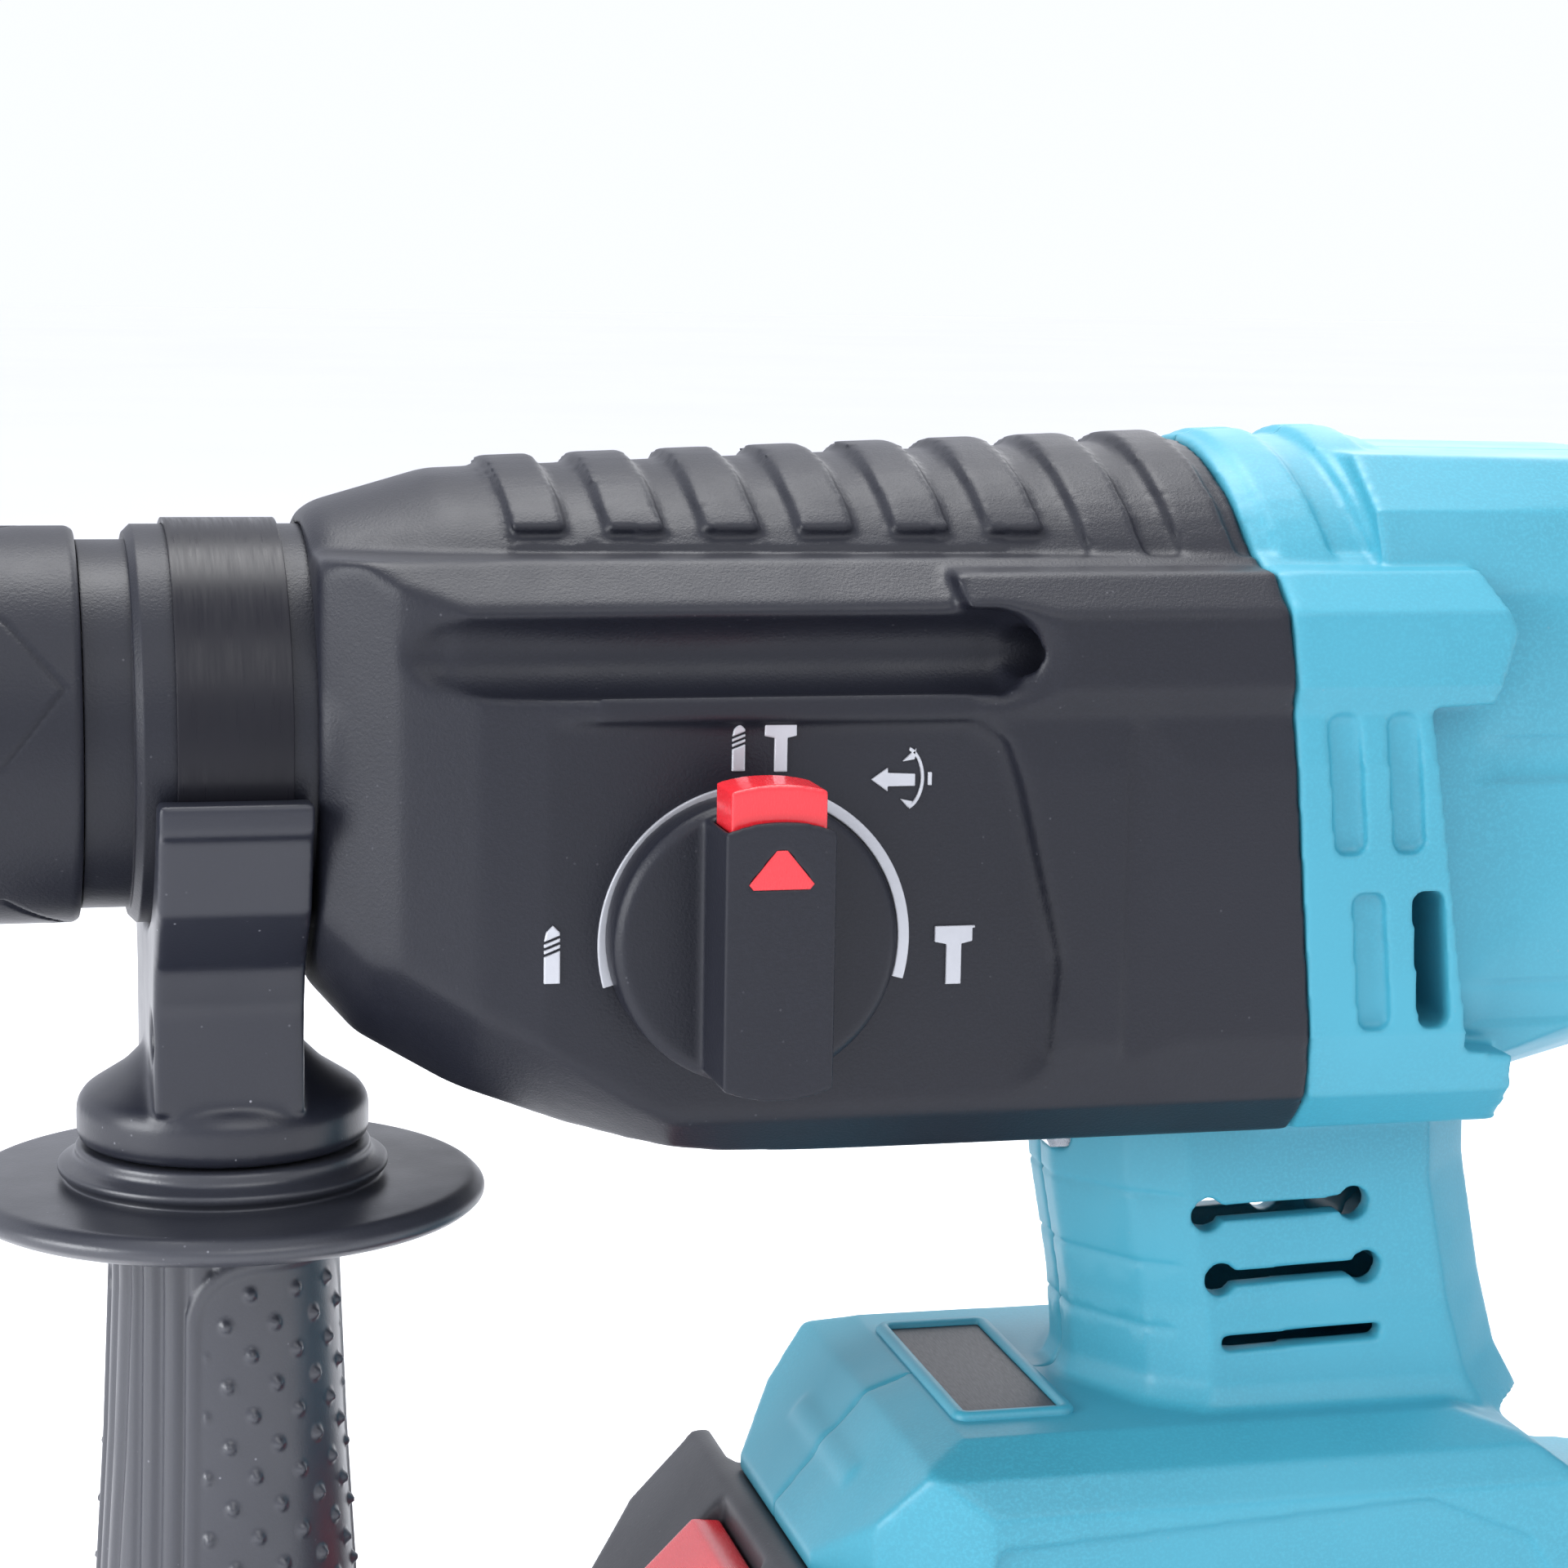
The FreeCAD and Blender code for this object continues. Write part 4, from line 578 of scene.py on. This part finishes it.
def grip_relief(station, angle, radius):
    """Two dimpled panels with an outlined edge, and ridges along the grip between them."""
    if station > GRIP_TOP or radius < GRIP_SKIN or station < GRIP_LOW:
        return 0.0
    turn = signed_angle(2 * (angle - PANEL_TURN)) / 2
    across = turn * radius
    edge = PANEL_HALF * radius
    inside_side = edge - abs(across)
    inside_ends = min(PANEL_TOP - station, station - PANEL_LOW)
    if inside_side < PANEL_CORNER and inside_ends < PANEL_CORNER:
        inside = PANEL_CORNER - math.hypot(PANEL_CORNER - inside_side, PANEL_CORNER - inside_ends)
    else:
        inside = min(inside_side, inside_ends)
    fade = faded(GRIP_TOP - station, 0.5, 4.0)
    if inside > 2.4:
        return dimple(station, across) * faded(inside, 2.4, 3.4)
    if inside > 0.0:
        return 0.35 * faded(inside, 0.0, 0.7) * (1.0 - faded(inside, 1.5, 2.3))
    ridge = 0.5 + 0.5 * math.cos((abs(across) - edge) * 2 * math.pi / RIDGE_PITCH)
    return -RIDGE_DEPTH * ridge * ridge * fade


def side_grip():
    top = [
        (-60.9, 6.0), (-52.8, 6.0), (-52.8, 18.4), (-54.4, 18.4), (-55.2, 20.6), (-56.0, 20.6),
        (-57.2, 19.4), (-57.2, 31.4), (-58.6, 32.8), (-59.6, 32.8), (-60.8, 31.4), (-60.8, 14.6),
    ]
    low = [
        (-63.0, 14.2), (-70.0, 14.2), (-90.0, 15.0), (-110.0, 16.2), (-126.0, 16.2), (-144.0, 15.4),
        (-156.0, 15.4), (-162.0, 17.4), (-165.5, 17.4), (-168.0, 15.0), (-168.0, 0.01),
    ]
    outline = rounded_outline(top + low, 0.8)
    points = resampled(outline, lambda station: 0.42 if station < GRIP_TOP else 0.7)
    # The grip gets the lighter copy of the handle plastic, whose paler colour is a painted sheen.
    material = FINISH["grip_plastic_painted_sheen"]
    grip = revolved("side_grip_moulded", points, GRIP_COLUMNS, about_handle, grip_relief, material)
    return declared(grip, "side_grip", "handle_plastic", "side_grip")


# ---------------------------------------------------------------- gear case and knob

KNOB_X = 123.3
KNOB_Z = -21.1
PANEL_Y = -38.0
PRINT_SUNK = 0.3
PRINT_PROUD = 0.35
PRINT_BEVEL = 0.08
ARC_X = KNOB_X + 1.1
ARC_Z = KNOB_Z - 1.0
ARC_INNER = 17.5
ARC_OUTER = 18.9
ARC_LOW = -15.5


def arc_band():
    """Silver arc round the mode knob, raised a little from the panel."""
    steps = 72
    start = math.radians(ARC_LOW)
    turn = math.radians(180.0 - 2 * ARC_LOW)
    outline = []
    for radius, order in ((ARC_OUTER, range(steps + 1)), (ARC_INNER, range(steps, -1, -1))):
        for n in order:
            angle = start + turn * n / steps
            outline.append((ARC_X + radius * math.cos(angle), ARC_Z + radius * math.sin(angle)))
    return outline


def drill_mark(x, z, size=1.0):
    """Upright drill bit: shank, two slanted flutes and a point."""
    shapes = [
        [(-0.95, -3.4), (0.95, -3.4), (0.95, 0.5), (-0.95, -0.25)],
        [(-0.95, 0.1), (0.95, 0.85), (0.95, 1.25), (-0.95, 0.5)],
        [(-0.95, 0.85), (0.95, 1.6), (0.95, 2.0), (-0.95, 1.25)],
        [(-0.95, 1.6), (0.95, 2.35), (0.9, 2.7), (0.1, 3.5), (-0.7, 2.7)],
    ]
    return [[(x + size * a, z + size * b) for a, b in shape] for shape in shapes]


def hammer_mark(x, z, size=1.0):
    """Upright hammer with a square head."""
    shape = [
        (-0.95, -3.6), (0.95, -3.6), (0.95, 1.3), (2.3, 1.6), (2.3, 3.2), (2.6, 3.2), (2.6, 3.5),
        (-2.4, 3.5), (-2.4, 1.6), (-0.95, 1.3),
    ]
    return [[(x + size * a, z + size * b) for a, b in shape]]


def chisel_mark(x, z, size=1.0):
    """Chisel pointing forwards inside a turning arrow."""
    shapes = [
        [(-3.6, 0.0), (-1.8, 1.25), (-1.8, 0.7), (1.2, 0.55), (1.2, -0.75), (-1.8, -0.75), (-1.8, -1.3)],
        [(2.6, -0.7), (3.05, -0.7), (3.05, 0.7), (2.6, 0.7)],
        [(-0.2, 1.9), (1.3, 3.3), (1.1, 2.1)],
        [(-0.4, -2.1), (0.5, -3.1), (1.0, -2.4)],
    ]
    steps = 14
    outer = []
    inner = []
    for n in range(steps + 1):
        angle = math.radians(-72.0 + 144.0 * n / steps)
        outer.append((-0.1 + 2.3 * math.cos(angle), 0.1 + 3.5 * math.sin(angle)))
        inner.append((-0.1 + 1.95 * math.cos(angle), 0.1 + 3.1 * math.sin(angle)))
    shapes.append(outer + inner[::-1])
    return [[(x + size * a, z + size * b) for a, b in shape] for shape in shapes]


def panel_marks():
    """Mode symbols and arc, all standing a little proud of the knob panel."""
    marks = {
        "knob_arc": [arc_band()],
        "mark_drill": drill_mark(100.1, -23.0),
        "mark_drill_hammer": drill_mark(122.1, 1.1, 0.82) + hammer_mark(127.2, 1.1, 0.82),
        "mark_chisel": chisel_mark(142.3, -3.0, 1.12),
        "mark_hammer": hammer_mark(148.9, -24.4),
    }
    for name, outlines in marks.items():
        piece = flat(name, outlines, PANEL_Y + PRINT_SUNK, PANEL_Y - PRINT_PROUD, PRINT)
        declared(piece, "housing", "cast_alloy")


def rounded_rectangle(x0, x1, y0, y1, radius, arc=6):
    points = []
    low_x, high_x = x0 + radius, x1 - radius
    low_y, high_y = y0 + radius, y1 - radius
    centres = [(high_x, high_y), (low_x, high_y), (low_x, low_y), (high_x, low_y)]
    for quarter, (x, y) in enumerate(centres):
        for n in range(arc + 1):
            angle = math.pi / 2 * (quarter + n / arc)
            points.append((x + radius * math.cos(angle), y + radius * math.sin(angle)))
    return points


DISPLAY_GAP = 0.1
DISPLAY_RIM = 1.7


def display_frame():
    """Raised frame round the display, standing on the top of the battery base."""
    low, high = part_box("display_panel")
    x0, x1 = low.x / MM - DISPLAY_GAP, high.x / MM + DISPLAY_GAP
    half = high.y / MM + DISPLAY_GAP
    glass = high.z / MM
    base = glass - 1.2
    # Loops of the rim's section: growth outwards, corner radius, height
    loops = [
        (0.0, 0.6, base), (0.0, 0.6, glass + 0.55), (0.35, 0.9, glass + 0.8),
        (DISPLAY_RIM - 0.5, 1.8, glass + 0.8), (DISPLAY_RIM, 2.2, glass + 0.3), (DISPLAY_RIM, 2.2, base),
    ]
    vertices = []
    for grow, radius, z in loops:
        for x, y in rounded_rectangle(x0 - grow, x1 + grow, -half - grow, half + grow, radius):
            vertices.append((x * MM, y * MM, z * MM))
    count = len(vertices) // len(loops)
    faces = []
    for row in range(len(loops)):
        faces += ring_faces(row, (row + 1) % len(loops), count)
    mesh = outward_mesh("display_frame", vertices, faces)
    declared(linked("display_frame", mesh, FINISH["teal_plastic"]), "housing", "teal_plastic")


PANEL_EDGE = (
    (90.5, 4.4), (151.0, 4.0), (154.8, 1.4), (156.6, -4.0), (162.0, -25.6), (161.0, -38.0),
    (152.0, -46.0), (96.0, -40.0), (91.0, -25.0), (86.5, -8.0), (86.8, 1.0),
)


def off_panel_edge(x, z):
    """Distance from the outline of the knob panel."""
    nearest = 100.0
    for (x0, z0), (x1, z1) in zip(PANEL_EDGE, PANEL_EDGE[1:] + PANEL_EDGE[:1]):
        run = (x1 - x0, z1 - z0)
        share = ((x - x0) * run[0] + (z - z0) * run[1]) / (run[0] ** 2 + run[1] ** 2)
        share = min(1.0, max(0.0, share))
        nearest = min(nearest, math.hypot(x - x0 - share * run[0], z - z0 - share * run[1]))
    return nearest


def case_softness(point):
    """The gear case's body is softly rounded; its ribs, sides and inner walls stay crisper."""
    x, y, z = point
    ribs = faded(z, 17.0, 22.0) * faded(x, 92.0, 96.0)
    hidden = 1.0 - faded(math.hypot(y, z), 25.0, 26.5) if x < 90 else 0.0
    side = faded(abs(y), 27.0, 31.0) * faded(x, 84.0, 94.0) * (1.0 - faded(z, 8.0, 22.0))
    soft = 0.4 * (1.0 - max(0.85 * ribs, hidden, 0.8 * side))
    if y < -33.0 and x > 80.0 and -50.0 < z < 9.0:
        edge = 1.0 - faded(off_panel_edge(x, z), 2.5, 5.0)
        top = 1.0 if x > 150.0 else 1.0 - 0.85 * faded(z, -2.0, 2.0)
        soft = max(soft, 0.38 * edge * top)
    if abs(y) > 37.5:
        soft = max(soft, 0.35 * band(x, 153.0, 160.0, 1.5) * band(z, 5.0, 18.0, 1.0))
    return soft


def front_and_base(point):
    """The windows, slots and display seat keep crisper edges than the motor's end."""
    x, _, z = point
    windows = faded(x, 190, 194) * (1 - faded(x, 222, 226)) * faded(z, -42, -38) * (1 - faded(z, 30, 36))
    slots = (1 - faded(z, -56, -52)) * faded(z, -88, -84) * faded(x, 183, 186) * (1 - faded(x, 216, 219))
    display = faded(z, -94, -92) * (1 - faded(z, -86, -84)) * (1 - faded(x, 172, 175)) * faded(x, 153, 156)
    motor = faded(x, 222.0, 240.0) * faded(z, -20.0, -10.0)
    return (1.0 - max(windows, slots, display)) * (0.32 + 0.68 * motor)


INSERT_LINE_Z = 23.0
INSERT_LINE_X = 94.6
INSERT_LINE_END = 158.0
RIB_LEAN = 0.13
RIB_TOP = 50.0
STRUT_LINES = (-61.2, -70.6, -79.2)
BODY_BANDS = ((-5.0, -0.2), (-36.5, -31.2))
BAND_DEPTH = 0.8
GROOVE_PITCH = 5.0
GROOVE_MIDDLE = -52.0
GROOVE_DEPTH = 0.55


def band(value, low, high, edge):
    """1 between low and high, falling to 0 over edge on both sides."""
    return faded(value, low - edge, low) * (1.0 - faded(value, high, high + edge))


def case_lines(point, normal):
    """Fine line round the rib field, where the cover is let into the gear case."""
    x, y, z = point
    if z < 18.0 or x < 90.0 or math.hypot(y, z) < 26.0 or normal.y * y + normal.z * z < 0.0:
        return 0.0
    front = INSERT_LINE_X + RIB_LEAN * (RIB_TOP - z)
    low = line_groove(z - INSERT_LINE_Z) * band(x, front, INSERT_LINE_END, 1.0)
    return max(low, line_groove(x - front) * faded(z, INSERT_LINE_Z, INSERT_LINE_Z + 1.0))


def housing_lines(point, normal):
    """Fine lines round the front of the strut and long sunk bands on the motor's sides."""
    x, y, z = point
    depth = 0.0
    if z < -55.0 and x < 190.0 and z > -86.0 and normal.x < 0.3 and normal.y * y > -0.3:
        for level in STRUT_LINES:
            depth = max(depth, line_groove(z - level) * (1.0 - faded(x, 185.0, 187.0)))
    if abs(y) > 24.0 and x > 212.0 and normal.y * y > 0.0:
        for low, high in BODY_BANDS:
            depth = max(depth, BAND_DEPTH * band(z, low, high, 0.8) * band(x, 222.0, 262.0, 6.0))
    return depth


def grip_grooves(point, normal):
    """Shallow grooves across the rubber at the back of the rear grip."""
    _, y, z = point
    if normal.x < 0.1 or abs(y) > 13.0:
        return 0.0
    turns = (z - GROOVE_MIDDLE) / GROOVE_PITCH
    away = abs(turns - round(turns)) * GROOVE_PITCH
    inside = band(z, -98.0, -10.0, 2.0) * (1.0 - faded(abs(y), 10.5, 12.5))
    return GROOVE_DEPTH * (1.0 - faded(away, 0.5, 1.1)) * inside


def moulded_parts():
    moulded("gear_case", "housing", "black_plastic", 0.55, 60, case_softness, case_lines)
    for node in ("housing_left", "housing_right"):
        moulded(node, "housing", "teal_plastic", 0.5, 45, front_and_base, housing_lines)
    moulded("grip_overmould", "housing", "grip_rubber", 0.5, 10, None, grip_grooves)
    moulded("mode_knob", "mode_knob", "black_plastic", 0.35, 3)
    moulded("lock_button", "lock_button", "red_plastic", 0.22, 6)
    moulded("handle_saddle", "side_handle", "handle_plastic", 0.4, 22)
    moulded("trigger", "trigger", "black_plastic", 0.35, 8)
    moulded("release_button", "release_button", "red_plastic", 0.35, 6)
    moulded("direction_slider", "direction_slider", "black_plastic", 0.35, 6)
    for node in ("battery_case_upper", "battery_case_lower"):
        moulded(node, "battery", "pack_plastic", 0.6, 6)


# ---------------------------------------------------------------- camera and studio


CAMERA_PLACE = (0.02904, -0.44501, 0.05930)
CAMERA_YAW = 0.2378
CAMERA_PITCH = 0.14848
CAMERA_ROLL = 0.01606


def build_camera():
    flat_ahead = Vector((math.sin(CAMERA_YAW), math.cos(CAMERA_YAW), 0.0))
    ahead = math.cos(CAMERA_PITCH) * flat_ahead - math.sin(CAMERA_PITCH) * Vector((0.0, 0.0, 1.0))
    level = Vector((math.cos(CAMERA_YAW), -math.sin(CAMERA_YAW), 0.0))
    up = level.cross(ahead)
    right = math.cos(CAMERA_ROLL) * level + math.sin(CAMERA_ROLL) * up
    top = math.cos(CAMERA_ROLL) * up - math.sin(CAMERA_ROLL) * level
    data = bpy.data.cameras.new("camera")
    data.lens = 82.5
    data.sensor_width = 36.0
    data.clip_start = 0.01
    data.clip_end = 50.0
    camera = bpy.data.objects.new("camera", data)
    turn = Matrix((right, top, -ahead)).transposed().to_4x4()
    camera.matrix_world = Matrix.Translation(CAMERA_PLACE) @ turn
    bpy.context.scene.collection.objects.link(camera)
    bpy.context.scene.camera = camera


def area_light(name, place, target, size, power, colour=(1.0, 1.0, 1.0)):
    data = bpy.data.lights.new(name, "AREA")
    data.shape = "RECTANGLE"
    data.size, data.size_y = size
    data.energy = power
    data.color = colour
    lamp = bpy.data.objects.new(name, data)
    lamp.location = place
    lamp.rotation_euler = (Vector(target) - Vector(place)).to_track_quat("-Z", "Y").to_euler()
    bpy.context.scene.collection.objects.link(lamp)


FLOOR_REACH = 12.0
FLOOR_GAP = 0.0005


def build_studio():
    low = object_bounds()[0][2] - FLOOR_GAP
    mesh = bpy.data.meshes.new("studio_floor")
    signs = ((-1, -1), (1, -1), (1, 1), (-1, 1))
    mesh.from_pydata([(FLOOR_REACH * a, FLOOR_REACH * b, low) for a, b in signs], [], [(0, 1, 2, 3)])
    floor = linked("studio_floor", mesh, floor_material())
    world = bpy.data.worlds.new("studio")
    world.use_nodes = True
    sky = world.node_tree.nodes["Background"]
    sky.inputs["Color"].default_value = (0.915, 0.94, 1.03, 1.0)
    sky.inputs["Strength"].default_value = 1.06
    bpy.context.scene.world = world
    middle = (0.14, 0.0, -0.05)
    area_light("key", (0.35, -1.1, 0.95), middle, (0.9, 0.7), 4.8)
    area_light("fill", (-1.2, -0.4, 0.35), middle, (0.8, 0.8), 17.0, (0.95, 0.97, 1.0))
    area_light("top", (0.1, 0.35, 1.2), middle, (1.0, 0.6), 16.0)
    area_light("back", (0.9, 1.0, 0.6), middle, (0.8, 0.8), 4.0)
    bpy.context.scene.view_settings.view_transform = "Standard"


dress_frame()
build_camera()
build_studio()
chuck_sleeve()
side_grip()
panel_marks()
display_frame()
moulded_parts()
